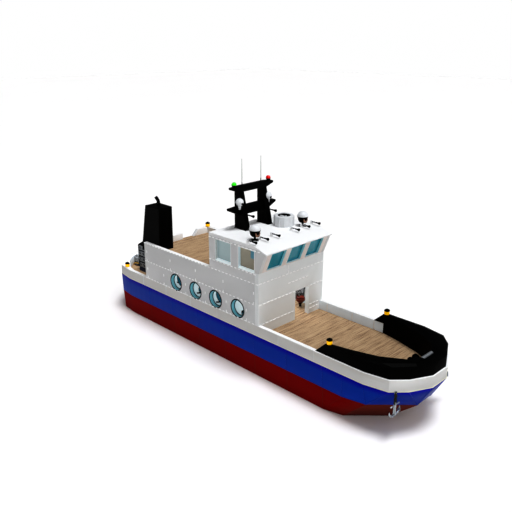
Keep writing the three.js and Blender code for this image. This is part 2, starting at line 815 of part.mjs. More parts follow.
// Stack of ventilation units on the aft deck: a base, three equal units and a taller one with a sloping lid.
const VENTS = {
  x: [-10900, -10050],
  y: [-1450, -750],
  base: 330,
  unit: 440,
  count: 3,
  waist: 25,
  lid: [390, 900],
};
function ventStack() {
  const foot = DECK + GAP;
  const last = foot + VENTS.base + VENTS.count * VENTS.unit;
  const core = ([a, b]) => [a + VENTS.waist, b - VENTS.waist];
  let shape = box(core(VENTS.x), core(VENTS.y), [foot, last + 10]);
  shape = shape.add(box(VENTS.x, VENTS.y, [foot, foot + VENTS.base - VENTS.waist]));
  for (let i = 0; i < VENTS.count; i++) {
    const low = foot + VENTS.base + i * VENTS.unit;
    shape = shape.add(box(VENTS.x, VENTS.y, [low, low + VENTS.unit - VENTS.waist]));
  }
  const head = prismY(
    [
      [VENTS.x[0], last],
      [VENTS.x[1], last],
      [VENTS.x[1], last + VENTS.lid[1]],
      [VENTS.x[0], last + VENTS.lid[0]],
    ],
    ...VENTS.y,
  );
  return shape.add(head);
}
put("vent_stack", ventStack(), "black");

// Winches: a stand with two cheeks and a flanged drum on pins between them.
const WINCHES = [
  { name: "aft_winch", x: -11950, z: 3290, radius: 230, flange: 320, half: 900, cheek: 100, top: 280 },
  { name: "windlass", x: 11600, z: 3390, radius: 180, flange: 260, half: 250, cheek: 60, top: 110 },
];
const PIN = 50;
const SIDE_CLEAR = 8;
for (const { name, x, z, radius, flange, half, cheek, top } of WINCHES) {
  const foot = DECK + GAP;
  const inner = half + SIDE_CLEAR;
  const outer = inner + cheek;
  const reach = flange + 20;
  let stand = box([x - reach, x + reach], [-outer, outer], [foot, foot + 90]);
  for (const side of [-1, 1]) {
    const [y0, y1] = side < 0 ? [-outer, -inner] : [inner, outer];
    const profile = [
      [x - reach, foot],
      [x + reach, foot],
      [x + top, z + 110],
      [x - top, z + 110],
    ];
    stand = stand.add(prismY(profile, y0, y1));
  }
  const boreReach = inner + cheek - 20;
  stand = stand.subtract(rod([x, -boreReach, z], [x, boreReach, z], PIN + 2, PIN + 2));
  put(`${name}_stand`, stand, name === "windlass" ? "black" : "navy");
  const pinReach = boreReach - GAP;
  const drum = join(
    rod([0, -half, 0], [0, half, 0], radius),
    rod([0, -half, 0], [0, -half + 40, 0], flange),
    rod([0, half - 40, 0], [0, half, 0], flange),
    rod([0, -pinReach, 0], [0, pinReach, 0], PIN),
  );
  put(`${name}_drum`, drum, "grey", pivot(x, 0, z));
}

// Amber deck lights on the caps. Columns: name, x, y, z of the seat.
const BEACONS = [
  ["beacon_bow_starboard", 8120, -2640, BOW_CAP],
  ["beacon_bow_port", 8120, 2640, BOW_CAP],
  ["beacon_stern_starboard", -10750, -2570, CAP],
  ["beacon_stern_port", -10750, 2570, CAP],
  ["beacon_upper_port", -7820, 2710, UPPER_CAP],
];
for (const [name, x, y, z] of BEACONS) {
  const profile = [
    [0, 0],
    [155, 0],
    [155, 190],
    [165, 200],
    [150, 300],
    [90, 335],
    [0, 340],
  ];
  put(name, turned(profile, [x, y, z + GAP], [0, 0, 1], 16), "amber");
}

// Anchors hung on short chains from a plate on the strake's forward quarter facet, one on each side.
const ANCHOR = {
  along: 0.35, // place on the facet, from its aft corner
  off: 55, // from the facet to the shank
  plate: [2630, 2780],
  ring: 2150,
  stock: 2030,
  stockHalf: 330,
  crown: 1480,
  spread: 400,
  flukeTip: 330,
};
const FACET = [STATIONS[7].strake, STATIONS[8].strake];
for (const [name, side] of SIDES) {
  const [[x0, y0], [x1, y1]] = FACET;
  const angle = Math.atan2(x1 - x0, y0 - y1) * side;
  const [outX, outY] = [Math.cos(angle), Math.sin(angle)];
  const onFace = [x0 + (x1 - x0) * ANCHOR.along, side * (y0 + (y1 - y0) * ANCHOR.along)];
  const place = pivot(onFace[0] + outX * ANCHOR.off, onFace[1] + outY * ANCHOR.off, 0);
  const depth = ANCHOR.off - GAP + 20;
  const plate = new THREE.BoxGeometry(depth, 130, ANCHOR.plate[1] - ANCHOR.plate[0]);
  plate.translate(GAP - ANCHOR.off + depth / 2, 0, (ANCHOR.plate[0] + ANCHOR.plate[1]) / 2);
  plate.rotateZ(angle);
  const shape = join(
    solid(plate),
    rod([0, 0, ANCHOR.ring], [0, 0, ANCHOR.plate[0] + 20], 45, 45, 8),
    rod([0, 0, ANCHOR.crown], [0, 0, ANCHOR.ring + 40], 52, 42, 10),
    rod([0, -ANCHOR.stockHalf, ANCHOR.stock], [0, ANCHOR.stockHalf, ANCHOR.stock], 34, 34, 8),
    ...[-1, 1].flatMap((way) => [
      rod([0, 0, ANCHOR.crown - 20], [0, way * ANCHOR.spread, ANCHOR.crown + 60], 60, 45, 8),
      rod(
        [0, way * ANCHOR.spread, ANCHOR.crown + 20],
        [0, way * (ANCHOR.spread + 60), ANCHOR.crown + ANCHOR.flukeTip],
        85,
        30,
        8,
      ),
    ]),
  );
  put(`anchor_${name}`, shape, "galvanised", place);
}

// Helm just inside the doorway: a seat on a pedestal, turned towards the doorway, and a tall console with
// an arm that carries the wheel.
const SEAT = {
  x: 2020,
  y: 2020,
  turn: -45,
  low: 3030,
  flare: 3250,
  top: 3490,
  half: [260, 300],
  backTop: 4250,
};
function helmSeat() {
  const [deep, wide] = SEAT.half;
  const foot = DECK + GAP;
  const cushion = loft([
    [SEAT.low, rectangle([-90, 90], [-90, 90])],
    [SEAT.flare, rectangle([-deep, deep], [-wide, wide])],
    [SEAT.top, rectangle([-deep, deep], [-wide, wide])],
  ]);
  let shape = join(
    rod([0, 0, foot], [0, 0, foot + 40], 260, 260, 20),
    rod([0, 0, foot], [0, 0, SEAT.low + 20], 65, 65, 16),
    cushion,
    box([-deep - 40, -deep + 60], [-wide + 20, wide - 20], [SEAT.top - 20, SEAT.backTop]),
  );
  for (const side of [-1, 1]) {
    const y = [side * (wide - 10), side * (wide + 40)].sort((a, b) => a - b);
    shape = shape.add(box([-deep, deep - 120], y, [SEAT.top - 60, SEAT.top + 300]));
  }
  return shape.rotate([0, 0, SEAT.turn]).translate([SEAT.x, SEAT.y, 0]);
}
put("helm_seat", helmSeat(), "leather");

const HELM = { x: [2300, 2650], y: [300, 720], top: 4620 };
const WHEEL = { x: 2360, y: 1500, z: 3940, radius: 185, rim: 22, hub: 25, spoke: 8 };
function helmConsole() {
  const post = WHEEL.x + 60;
  const face = WHEEL.x + 45;
  return join(
    box(HELM.x, HELM.y, [DECK + GAP, HELM.top]),
    rod([2550, HELM.y[1] - 20, HELM.top - 60], [post, WHEEL.y, WHEEL.z - 180], 30, 30, 10),
    rod([post, WHEEL.y, WHEEL.z - 200], [post, WHEEL.y, WHEEL.z], 15, 15, 8),
    rod([face, WHEEL.y, WHEEL.z], [face + 40, WHEEL.y, WHEEL.z], 30, 30, 12),
  );
}
put("helm_console", helmConsole(), "grey");
function helmWheel() {
  const rim = new THREE.TorusGeometry(WHEEL.radius, WHEEL.rim, 6, 20);
  rim.rotateY(Math.PI / 2);
  let wheel = solid(rim).add(rod([-30, 0, 0], [45 - GAP, 0, 0], WHEEL.hub, WHEEL.hub, 12));
  for (let i = 0; i < 4; i++) {
    const angle = (i * Math.PI) / 2;
    const tip = [0, Math.cos(angle) * WHEEL.radius, Math.sin(angle) * WHEEL.radius];
    wheel = wheel.add(rod([0, 0, 0], tip, WHEEL.spoke, WHEEL.spoke, 6));
  }
  return wheel;
}
put("helm_wheel", helmWheel(), "black", pivot(WHEEL.x, WHEEL.y, WHEEL.z));

// Propeller with its shaft, and the rudder, in the tunnel.
const PROP = { x: -11600, radius: 490, hub: 110, blades: 4 };
function propeller() {
  const hub = turned(
    [
      [0, -170],
      [60, -150],
      [PROP.hub, -60],
      [PROP.hub, 130],
      [0, 130],
    ],
    [0, 0, 0],
    [1, 0, 0],
    20,
  );
  const shaftEnd = TUBE_END + 250 - GAP - PROP.x;
  let shape = hub.add(rod([0, 0, 0], [shaftEnd, 0, 0], SHAFT_RADIUS, SHAFT_RADIUS, 24));
  const outline = new THREE.Shape();
  outline.moveTo(-90, 60);
  outline.quadraticCurveTo(-250, 330, 20, PROP.radius);
  outline.quadraticCurveTo(260, 360, 90, 60);
  for (let i = 0; i < PROP.blades; i++) {
    const blade = new THREE.ExtrudeGeometry(outline, { depth: 30, bevelEnabled: false, curveSegments: 6 });
    blade.translate(0, 0, -15);
    blade.rotateY(Math.PI / 2 - 0.5);
    blade.rotateX(Math.PI / 2 + (i * 2 * Math.PI) / PROP.blades);
    shape = shape.add(solid(blade));
  }
  return shape;
}
put("propeller", propeller(), "bronze", pivot(PROP.x, 0, SHAFT_Z));
const RUDDER = { x: -12300, fore: 220, aft: 430, low: 130, high: 1190, thick: 45 };
put(
  "rudder",
  join(
    prismZ(
      [
        [-RUDDER.aft, -8],
        [0, -RUDDER.thick],
        [RUDDER.fore * 0.8, -RUDDER.thick * 0.8],
        [RUDDER.fore, 0],
        [RUDDER.fore * 0.8, RUDDER.thick * 0.8],
        [0, RUDDER.thick],
        [-RUDDER.aft, 8],
      ],
      RUDDER.low - TUNNEL_ROOF,
      RUDDER.high - TUNNEL_ROOF,
    ),
    rod([0, 0, RUDDER.high - TUNNEL_ROOF - 200], [0, 0, -GAP], 50),
  ),
  "bronze",
  pivot(RUDDER.x, 0, TUNNEL_ROOF),
);

export default yacht;
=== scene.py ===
"""Looks of the trawler yacht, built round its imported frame. Metres, +X forward, +Y port, +Z up."""

import math

import bmesh
import bpy
import numpy as np
from mathutils import Matrix, Vector


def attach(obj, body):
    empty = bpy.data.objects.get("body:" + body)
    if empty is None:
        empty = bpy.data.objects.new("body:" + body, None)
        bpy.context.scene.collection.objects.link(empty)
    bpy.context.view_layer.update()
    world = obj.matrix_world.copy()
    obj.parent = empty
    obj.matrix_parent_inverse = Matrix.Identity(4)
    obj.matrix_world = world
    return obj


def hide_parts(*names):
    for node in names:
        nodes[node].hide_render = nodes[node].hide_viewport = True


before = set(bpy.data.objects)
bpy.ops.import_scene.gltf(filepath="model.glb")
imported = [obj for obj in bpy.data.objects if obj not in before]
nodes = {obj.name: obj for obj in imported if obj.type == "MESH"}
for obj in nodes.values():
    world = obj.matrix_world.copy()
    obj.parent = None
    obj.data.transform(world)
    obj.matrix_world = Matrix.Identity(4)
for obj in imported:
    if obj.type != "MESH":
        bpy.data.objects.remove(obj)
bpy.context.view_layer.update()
TAU = 2 * math.pi


# Camera


# The picture's view: degrees from the starboard beam towards the bow and above level, and the lens in mm.
VIEW_TURN, VIEW_RISE, LENS = 45.236, 19.232, 43.457
EYE = (26.019, -25.801, 19.001)


def stand_camera():
    """The picture's own view, 45 degrees wide and square. The way back from the ship to the eye is the turn
    and the rise as a direction: (sin turn, -cos turn) times the cosine of the rise, and its sine."""
    turn, rise = math.radians(VIEW_TURN), math.radians(VIEW_RISE)
    back = Vector((math.sin(turn) * math.cos(rise), -math.cos(turn) * math.cos(rise), math.sin(rise)))
    data = bpy.data.cameras.new("picture_camera")
    data.sensor_fit = "HORIZONTAL"
    data.sensor_width = 36.0
    data.lens = LENS
    data.clip_end = 500.0
    eye = bpy.data.objects.new("picture_camera", data)
    eye.location = EYE
    eye.rotation_euler = (-back).to_track_quat("-Z", "Y").to_euler()
    bpy.context.scene.collection.objects.link(eye)
    bpy.context.scene.camera = eye


stand_camera()
bpy.context.scene.view_settings.view_transform = "Standard"
bpy.context.scene.view_settings.gamma = 0.72


# Finishes


def linear(code):
    """An sRGB hex colour as linear red, green, blue and full alpha."""
    values = [int(code[i : i + 2], 16) / 255 for i in (1, 3, 5)]
    return tuple(v / 12.92 if v < 0.04045 else ((v + 0.055) / 1.055) ** 2.4 for v in values) + (1.0,)


def add(tree, kind, inputs=None, **settings):
    """Adds one node, with its settings and its inputs. An input is a plain value, a hex colour, or a link
    from a socket or from the first output that another node offers."""
    node = tree.nodes.new("ShaderNode" + kind)
    for key, value in settings.items():
        setattr(node, key, value)
    for key, value in (inputs or {}).items():
        if isinstance(value, bpy.types.Node):
            value = next(socket for socket in value.outputs if socket.enabled)
        if isinstance(value, bpy.types.NodeSocket):
            tree.links.new(value, node.inputs[key])
        else:
            node.inputs[key].default_value = linear(value) if isinstance(value, str) else value
    return node


def new_finish(name):
    """An empty material, its node tree and its object coordinates."""
    material = bpy.data.materials.new(name)
    material.use_nodes = True
    tree = material.node_tree
    tree.nodes.clear()
    return material, tree, add(tree, "TexCoord").outputs["Object"]


def close_finish(tree, looks):
    """Ends a finish: its shader has the inputs given, and is what the surface shows."""
    add(tree, "OutputMaterial", {"Surface": add(tree, "BsdfPrincipled", looks)})


def painted_shade_by_facing(tree, stops):
    """Painted shade for how far a plate faces the bow, the X of its normal: the raked plates of the bow are
    painted darker or lighter as the light falls on them. Each stop is that X and a colour, with plain runs
    between them."""
    facing = add(tree, "SeparateXYZ", {"Vector": tree.nodes["Texture Coordinate"].outputs["Normal"]})
    ramp = add(tree, "ValToRGB", {"Fac": facing.outputs["X"]})
    steps = ramp.color_ramp.elements
    steps[0].position, steps[0].color = stops[0][0], linear(stops[0][1])
    steps[1].position, steps[1].color = stops[-1][0], linear(stops[-1][1])
    for position, colour in stops[1:-1]:
        steps.new(position).color = linear(colour)
    return ramp.outputs["Color"]


# Metres: the spacing of the hull's frames, the levels just under the caps of the two bulwarks, the band of
# painted shade that fades in under the strake, and the deck planks' pitch and the joint between two of them.
FRAME_SPACING = 0.65
UNDER_CAP, UNDER_UPPER_CAP = 3.35, 5.94
SHADE_BAND_LOW, SHADE_BAND_HIGH = 2.3, 2.6
PLANK, JOINT = 0.14, 0.005


def enamel_on_plate(
    name, colour, shaded, roughness=0.45, peel=0.25, shine=0.15, outer=None, inner=None, level=UNDER_CAP,
    top=None, lift=0.0,
):
    """Two-pack enamel rolled on welded steel plate. The eye sees a soft gloss that wavers where the plate is
    drawn in between frames 650 mm apart, a little orange peel, and thin rain streaks. The outer tones are
    painted shade on the ship's outer sides below a level. They are darker than the plain tones and are set by
    how far each plate faces the bow, as the light falls on it. The inner tone is for the inner sides, and the
    lift is a painted glow on it that stands for the light thrown back inside the bulwarks. The top tone is
    painted shade: a darker band just under the strake, where the strake's shadow falls."""
    material, tree, place = new_finish(name)
    fading = add(tree, "TexNoise", {"Vector": place, "Scale": 0.5, "Detail": 3.0})
    tone = add(tree, "Mix", {0: fading, 6: shaded, 7: colour}, data_type="RGBA")
    glow = {}
    # Painted shade: below the level, the outer sides take the darker outer tones, set by how far each plate
    # faces the bow.
    if outer:
        # A plate faces outwards where its normal points the way that its place lies from the middle.
        where = add(tree, "SeparateXYZ", {"Vector": place})
        normal = tree.nodes["Texture Coordinate"].outputs["Normal"]
        outwards = add(tree, "VectorMath", {0: place, 1: normal}, operation="DOT_PRODUCT")
        outside = add(tree, "MapRange", {0: outwards, 1: -0.2, 2: 0.2})
        below = add(tree, "MapRange", {0: where.outputs["Z"], 1: level, 2: level - 0.01})
        sides = add(tree, "Mix", {0: outside, 6: inner, 7: painted_shade_by_facing(tree, outer)}, data_type="RGBA")
        tone = add(tree, "Mix", {0: below, 6: tone, 7: sides}, data_type="RGBA")
        # Painted light: the inner sides glow as strongly as the lift, for the light thrown back inside the
        # bulwarks.
        glow = {
            "Emission Color": inner,
            "Emission Strength": add(tree, "MapRange", {0: outside, 3: lift, 4: 0.0}),
        }
    # Painted shade: the top tone darkens a band just under the strake.
    if top:
        rise = add(tree, "SeparateXYZ", {"Vector": place})
        shade_band = add(tree, "MapRange", {0: rise.outputs["Z"], 1: SHADE_BAND_LOW, 2: SHADE_BAND_HIGH})
        tone = add(tree, "Mix", {0: shade_band, 6: tone, 7: top}, data_type="RGBA")
    # Streaks: 60 mm apart and ten times as tall, so they run down the plate.
    tall = add(tree, "Mapping", {"Vector": place, "Scale": (16.0, 16.0, 1.2)})
    streak = add(tree, "TexNoise", {"Vector": tall, "Scale": 1.0, "Detail": 2.0})
    gloss = add(tree, "MapRange", {0: streak, 1: 0.3, 2: 0.75, 3: roughness, 4: roughness + 0.05})
    along = add(tree, "SeparateXYZ", {"Vector": place})
    # One dish between each pair of frames: a turn of the sine in each spacing.
    turns = add(tree, "Math", {0: along.outputs["X"], 1: TAU / FRAME_SPACING}, operation="MULTIPLY")
    dish = add(tree, "Math", {0: turns}, operation="SINE")
    # Orange peel is about 3 mm across. It is drawn 12 mm across so that it shows.
    skin = add(tree, "TexNoise", {"Vector": place, "Scale": 80.0, "Detail": 1.0})
    plate = add(tree, "Bump", {"Height": dish, "Strength": 0.25, "Distance": 0.004})
    relief = add(tree, "Bump", {"Height": skin, "Normal": plate, "Strength": peel, "Distance": 0.001})
    close_finish(
        tree,
        {
            "Base Color": tone, "Roughness": gloss, "IOR": 1.5, "Specular IOR Level": shine,
            "Normal": relief, **glow,
        },
    )
    return material


def bottom_paint(name):
    """Eroding copper bottom paint, rolled on and left matt. The eye sees a dark red, chalky in patches, with
    a roller's stipple."""
    material, tree, place = new_finish(name)
    patch = add(tree, "TexNoise", {"Vector": place, "Scale": 1.1, "Detail": 6.0, "Roughness": 0.6})
    tone = add(tree, "Mix", {0: patch, 6: "#860000", 7: "#900303"}, data_type="RGBA")
    facing = add(tree, "SeparateXYZ", {"Vector": tree.nodes["Texture Coordinate"].outputs["Normal"]})
    bow = add(tree, "MapRange", {0: facing.outputs["X"], 1: 0.1, 2: 0.6})
    # Painted shade: the bottom plates that face the bow are painted darker and browner, as the light falls on
    # them.
    tone = add(tree, "Mix", {0: bow, 6: tone, 7: "#6e3226"}, data_type="RGBA")
    stipple = add(tree, "TexNoise", {"Vector": place, "Scale": 70.0, "Detail": 2.0})
    relief = add(tree, "Bump", {"Height": stipple, "Strength": 0.35, "Distance": 0.002})
    close_finish(
        tree,
        {"Base Color": tone, "Roughness": 0.62, "IOR": 1.5, "Specular IOR Level": 0.03, "Normal": relief},
    )
    return material


def gritted_paint(name, colour, worn):
    """Deck paint with sand thrown in. The eye sees a dead black with a grain that breaks the highlights,
    greyer where boots have polished it."""
    material, tree, place = new_finish(name)
    wear = add(tree, "TexNoise", {"Vector": place, "Scale": 1.6, "Detail": 5.0})
    tone = add(tree, "Mix", {0: wear, 6: colour, 7: worn}, data_type="RGBA")
    # Grit is 1 to 2 mm. It is drawn 8 mm across so that it shows.
    grit = add(tree, "TexVoronoi", {"Vector": place, "Scale": 120.0})
    relief = add(tree, "Bump", {"Height": grit, "Strength": 0.5, "Distance": 0.002})
    close_finish(
        tree,
        {"Base Color": tone, "Roughness": 0.6, "IOR": 1.5, "Specular IOR Level": 0.03, "Normal": relief},
    )
    return material


def oiled_planks(name):
    """Sawn hardwood deck planks, 140 mm wide, laid across the ship and oiled. The eye sees each plank in its
    own shade, a grain drawn out along it, and darker streaks."""
    material, tree, place = new_finish(name)
    along = add(tree, "SeparateXYZ", {"Vector": place})
    # The plank that a point is on: a step at each pitch.
    count = add(tree, "Math", {0: along.outputs["X"], 1: 1 / PLANK}, operation="MULTIPLY")
    number = add(tree, "Math", {0: count}, operation="FLOOR")
    shade = add(tree, "TexWhiteNoise", {"W": number}, noise_dimensions="1D")
    # Grain lines are 3 mm apart. They are drawn 22 mm apart and a metre long so that they show.
    drawn = add(tree, "Mapping", {"Vector": place, "Scale": (46.0, 1.0, 10.0)})
    grain = add(tree, "TexNoise", {"Vector": drawn, "Scale": 1.0, "Detail": 6.0, "Distortion": 0.15})
    own = add(tree, "MapRange", {0: shade, 3: -0.05, 4: 0.05})
    both = add(tree, "Math", {0: grain, 1: own}, operation="ADD")
    wood = add(tree, "ValToRGB", {"Fac": both})
    steps = wood.color_ramp.elements
    steps[0].position, steps[0].color = 0.33, linear("#664c38")
    steps[1].position, steps[1].color = 0.6, linear("#b8a082")
    middle = steps.new(0.45)
    middle.color = linear("#a78d70")
    relief = add(tree, "Bump", {"Height": grain, "Strength": 0.3, "Distance": 0.002})
    close_finish(
        tree,
        {
            "Base Color": wood.outputs["Color"], "Roughness": 0.6, "IOR": 1.5, "Specular IOR Level": 0.2,
            "Normal": relief,
        },
    )
    return material


def plain_finish(name, colour, other, roughness, scale, depth, metallic=0.0, coat=0.0, glow=0.0, shine=0.5):
    """A finish of two close shades in patches, with a fine relief of the same pattern."""
    material, tree, place = new_finish(name)
    grain = add(tree, "TexNoise", {"Vector": place, "Scale": scale, "Detail": 4.0})
    tone = add(tree, "Mix", {0: grain, 6: colour, 7: other}, data_type="RGBA")
    relief = add(tree, "Bump", {"Height": grain, "Strength": 0.4, "Distance": depth})
    close_finish(
        tree,
        {
            "Base Color": tone, "Roughness": roughness, "Metallic": metallic, "Specular IOR Level": shine,
            "Coat Weight": coat, "Emission Color": colour, "Emission Strength": glow, "Normal": relief,
        },
    )
    return material


def tinted_glass(name, colour, clear, roughness=0.04, shine=0.5):
    """Float glass with a body tint. The eye sees its own sea-green colour, a part of what is behind it, and
    a hard bright reflection with a slight waver from the rolls."""
    material, tree, place = new_finish(name)
    rolls = add(tree, "TexNoise", {"Vector": place, "Scale": 2.2, "Detail": 1.0})
    relief = add(tree, "Bump", {"Height": rolls, "Strength": 0.1, "Distance": 0.004})
    close_finish(
        tree,
        {
            "Base Color": colour, "Roughness": roughness, "IOR": 1.5, "Specular IOR Level": shine,
            "Transmission Weight": clear, "Normal": relief,
        },
    )
    return material


def galvanising(name):
    """Hot-dip galvanised steel. The eye sees a dull silver with the zinc's crystals, each a flat spangle of
    its own brightness, 10 to 20 mm across."""
    material, tree, place = new_finish(name)
    spangle = add(tree, "TexVoronoi", {"Vector": place, "Scale": 65.0})
    grey = add(tree, "RGBToBW", {"Color": spangle.outputs["Color"]})
    tone = add(tree, "Mix", {0: grey, 6: "#8f9699", 7: "#c9ced0"}, data_type="RGBA")
    rough = add(tree, "MapRange", {0: grey, 3: 0.3, 4: 0.55})
    close_finish(tree, {"Base Color": tone, "Metallic": 0.9, "Roughness": rough})
    return material


def pebbled_hide(name, dark, light):
    """Upholstery hide, dyed and pressed with a pebble grain. The eye sees a warm red-brown, darker in the
    creases between pebbles 2 mm across, drawn here 6 mm across, with a waxy sheen."""
    material, tree, place = new_finish(name)
    pebble = add(tree, "TexVoronoi", {"Vector": place, "Scale": 160.0}, feature="SMOOTH_F1")
    cloud = add(tree, "TexNoise", {"Vector": place, "Scale": 5.0, "Detail": 3.0})
    tone = add(tree, "Mix", {0: cloud, 6: dark, 7: light}, data_type="RGBA")
    relief = add(tree, "Bump", {"Height": pebble, "Strength": 0.5, "Distance": 0.002})
    close_finish(
        tree,
        {
            "Base Color": tone, "Roughness": 0.42, "Coat Weight": 0.15, "Coat Roughness": 0.3,
            "Normal": relief,
        },
    )
    return material


white = enamel_on_plate("white_marine_enamel", "#f4f4f4", "#ececec")
# Painted shade: the strake's outer side is a darker white, in tones by how far it faces the bow as the light
# falls. Painted light: its inner side has a painted glow.
strake_painted_shade_and_glow = enamel_on_plate(
    "white_strake_enamel_painted_shade_and_glow", "#f4f4f4", "#ececec",
    outer=((0.02, "#d9d7d3"), (0.2, "#e1e0de"), (0.7, "#e4e3e1"), (0.95, "#d2d1cf")), inner="#dbe2e8",
    lift=0.15,
)
# Painted shade: the outer sides of the deckhouse and of the upper bulwarks are a darker white than their
# inner sides.
side_white_painted_shade = enamel_on_plate(
    "white_side_enamel_painted_shade", "#f4f4f4", "#ececec", outer=((0.0, "#d8d8d8"), (1.0, "#d8d8d8")), inner="#f0f0f0",
    level=UNDER_UPPER_CAP,
)
# Painted shade: the wheelhouse's sides take a darker copy of the white enamel.
cabin_white_painted_shade = enamel_on_plate("white_cabin_enamel_painted_shade", "#dddddd", "#d6d6d6")
cool_white = enamel_on_plate("white_front_enamel", "#edefef", "#e7e9e9")
# The seam paint has a painted glow: a painted highlight for the light that catches the beads.
seam_white_painted_highlight = plain_finish(
    "white_seam_paint_painted_highlight", "#f5f5f5", "#f0f0f0", 0.5, 20.0, 0.0005, shine=0.15, glow=0.08
)
# Painted shade: the blue is darker where its plates face the bow, and in a band just under the strake.
blue = enamel_on_plate(
    "blue_topside_enamel_painted_shade", "#0042b4", "#003ea8", 0.3, peel=0.1, shine=0.05,
    outer=((0.2, "#003dab"), (0.9, "#00288d")), inner="#0042b4", top="#0000ae",
)
cream = enamel_on_plate("cream_edge_enamel", "#f1efc8", "#e6e3b4", 0.4, shine=0.3)
red = bottom_paint("red_bottom_paint_painted_shade")
deck_black = gritted_paint("black_gritted_deck_paint", "#020202", "#040404")
gloss_black = plain_finish("black_machinery_enamel", "#020202", "#040404", 0.45, 3.0, 0.001, shine=0.03)
tread = plain_finish("studded_tread_rubber", "#0c0c0c", "#151515", 0.6, 20.0, 0.001, shine=0.1)
slate = plain_finish("slate_machinery_enamel", "#8c9196", "#9ba0a5", 0.42, 4.0, 0.001, shine=0.2)
navy = plain_finish("navy_machinery_enamel", "#0c2040", "#143058", 0.38, 4.0, 0.001, shine=0.2)
grey = plain_finish("grey_machinery_enamel", "#b4b8bc", "#c4c8cc", 0.4, 4.0, 0.001, shine=0.2)
planks = oiled_planks("oiled_deck_planks")
# Polysulphide caulk: a dull rubbery black between the planks.
caulk = plain_finish("black_deck_caulk", "#171310", "#241d18", 0.8, 30.0, 0.001)
# The aft pair of side windows has a pale film on the glass, the fore pair is nearly clear.
filmed_glass = tinted_glass("filmed_float_glass", "#c7d9db", 0.05, 0.15, shine=0.2)
clear_glass = tinted_glass("clear_float_glass", "#bfbbac", 0.4, shine=0.1)
screen_glass = tinted_glass("teal_float_glass", "#30a4b8", 0.3, shine=0.3)
port_glass = tinted_glass("dark_teal_port_glass", "#006a80", 0.0, 0.08, shine=0.2)
# Painted reflection: a pale sheet on each port's pane, with a painted glow, for the bright reflection on the
# glass.
port_painted_reflection = plain_finish(
    "pale_painted_reflection_on_port_glass", "#e2eef0", "#d2e0e4", 0.25, 6.0, 0.0004, glow=0.2, shine=0.3
)
teal_lining = plain_finish("teal_port_lining", "#90ccd6", "#7cbcc8", 0.4, 5.0, 0.001, shine=0.2)
# Painted light: the windscreen's sills and reveals have a painted glow, standing for the light on them.
screen_sill_painted_light = plain_finish(
    "pale_screen_sill_painted_light", "#c8d8dc", "#bccdd2", 0.4, 5.0, 0.001, glow=0.22, shine=0.2
)
screen_reveal_painted_light = plain_finish(
    "teal_screen_reveal_painted_light", "#90ccd6", "#84c0ca", 0.4, 5.0, 0.001, glow=0.14, shine=0.2
)
sun_film = plain_finish("teal_sun_film", "#6aa2b6", "#6298ac", 0.3, 6.0, 0.0004, shine=0.2)
# The side windows' reveals are brushed with a bright pale gloss, and have a painted glow that stands for the
# light of the room on them.
reveal_sill_painted_light = plain_finish("pale_sill_painted_light", "#eef8fa", "#e2f0f4", 0.35, 5.0, 0.0006, glow=0.33, shine=0.3)
reveal_jamb_painted_light = plain_finish("pale_jamb_painted_light", "#ccd8dc", "#c2ced4", 0.35, 5.0, 0.0006, glow=0.14, shine=0.3)
# Painted light: the front doorway's casing has a painted glow, standing for the light on it.
casing_painted_light = plain_finish(
    "pale_casing_painted_light", "#e6eaec", "#dce0e3", 0.35, 5.0, 0.0006, glow=0.2, shine=0.2
)
grey_jamb = plain_finish("grey_jamb_paint", "#bfc5c3", "#b7bdbb", 0.35, 5.0, 0.0006, shine=0.2)
# Sprayed vinyl lining: a dull beige brown skin on the cabin's inside.
vinyl = plain_finish("beige_brown_vinyl_lining", "#8f8672", "#857b66", 0.7, 30.0, 0.0006, shine=0.2)
warm_white = enamel_on_plate("white_visor_enamel", "#ece4e0", "#e3dbd7")
# EPDM gasket: extruded rubber, black with a dull bloom.
rubber = plain_finish("black_rubber_gasket", "#080808", "#101010", 0.7, 40.0, 0.0006, shine=0.1)
pale_rubber = plain_finish("pale_grey_rubber_gasket", "#cfdce2", "#c2d0d8", 0.6, 40.0, 0.0006, shine=0.2)
zinc = galvanising("galvanised_steel")
worn_steel = plain_finish("worn_roller_steel", "#85888b", "#6c6f72", 0.5, 12.0, 0.001, metallic=0.3)
bronze = plain_finish("cast_bronze", "#a8803c", "#8a6a3a", 0.34, 9.0, 0.0015, metallic=1.0)
copper = plain_finish("spun_copper_reflector", "#b8947e", "#703a1c", 0.35, 9.0, 0.0005, metallic=0.5)
steel = plain_finish("drawn_stainless_steel", "#b9bcbf", "#a5a8ab", 0.3, 30.0, 0.0003, metallic=1.0)
hide = pebbled_hide("red_brown_hide", "#480000", "#7c2400")
grey_hide = pebbled_hide("grey_hide", "#8e9194", "#a8abae")
# Gelcoat over glass fibre: a smooth grey shell with a faint cloud.
shell_grey = plain_finish("grey_gelcoat", "#5c5e60", "#6a6c6e", 0.4, 6.0, 0.0006, coat=0.2)
white_plastic = plain_finish("white_moulded_plastic", "#e9eaec", "#dcdee0", 0.42, 20.0, 0.0005)
amber = plain_finish("amber_polycarbonate", "#ffc800", "#ffb800", 0.2, 12.0, 0.0004, glow=0.45, shine=0.3)
green = plain_finish("green_polycarbonate", "#2fe000", "#22c400", 0.2, 12.0, 0.0004, coat=0.4, glow=0.35)
signal_red = plain_finish("red_polycarbonate", "#e00000", "#c00000", 0.2, 12.0, 0.0004, coat=0.4, glow=0.35)
yellow = plain_finish("yellow_guard_rail_enamel", "#e0b020", "#c89a18", 0.4, 20.0, 0.0005)
# Tarred wire on the winch drum and tarred chain: a dull olive black.
tarred = plain_finish("tarred_wire_and_chain", "#2c2c22", "#3c3c2e", 0.7, 45.0, 0.002, shine=0.2)


# Making shapes


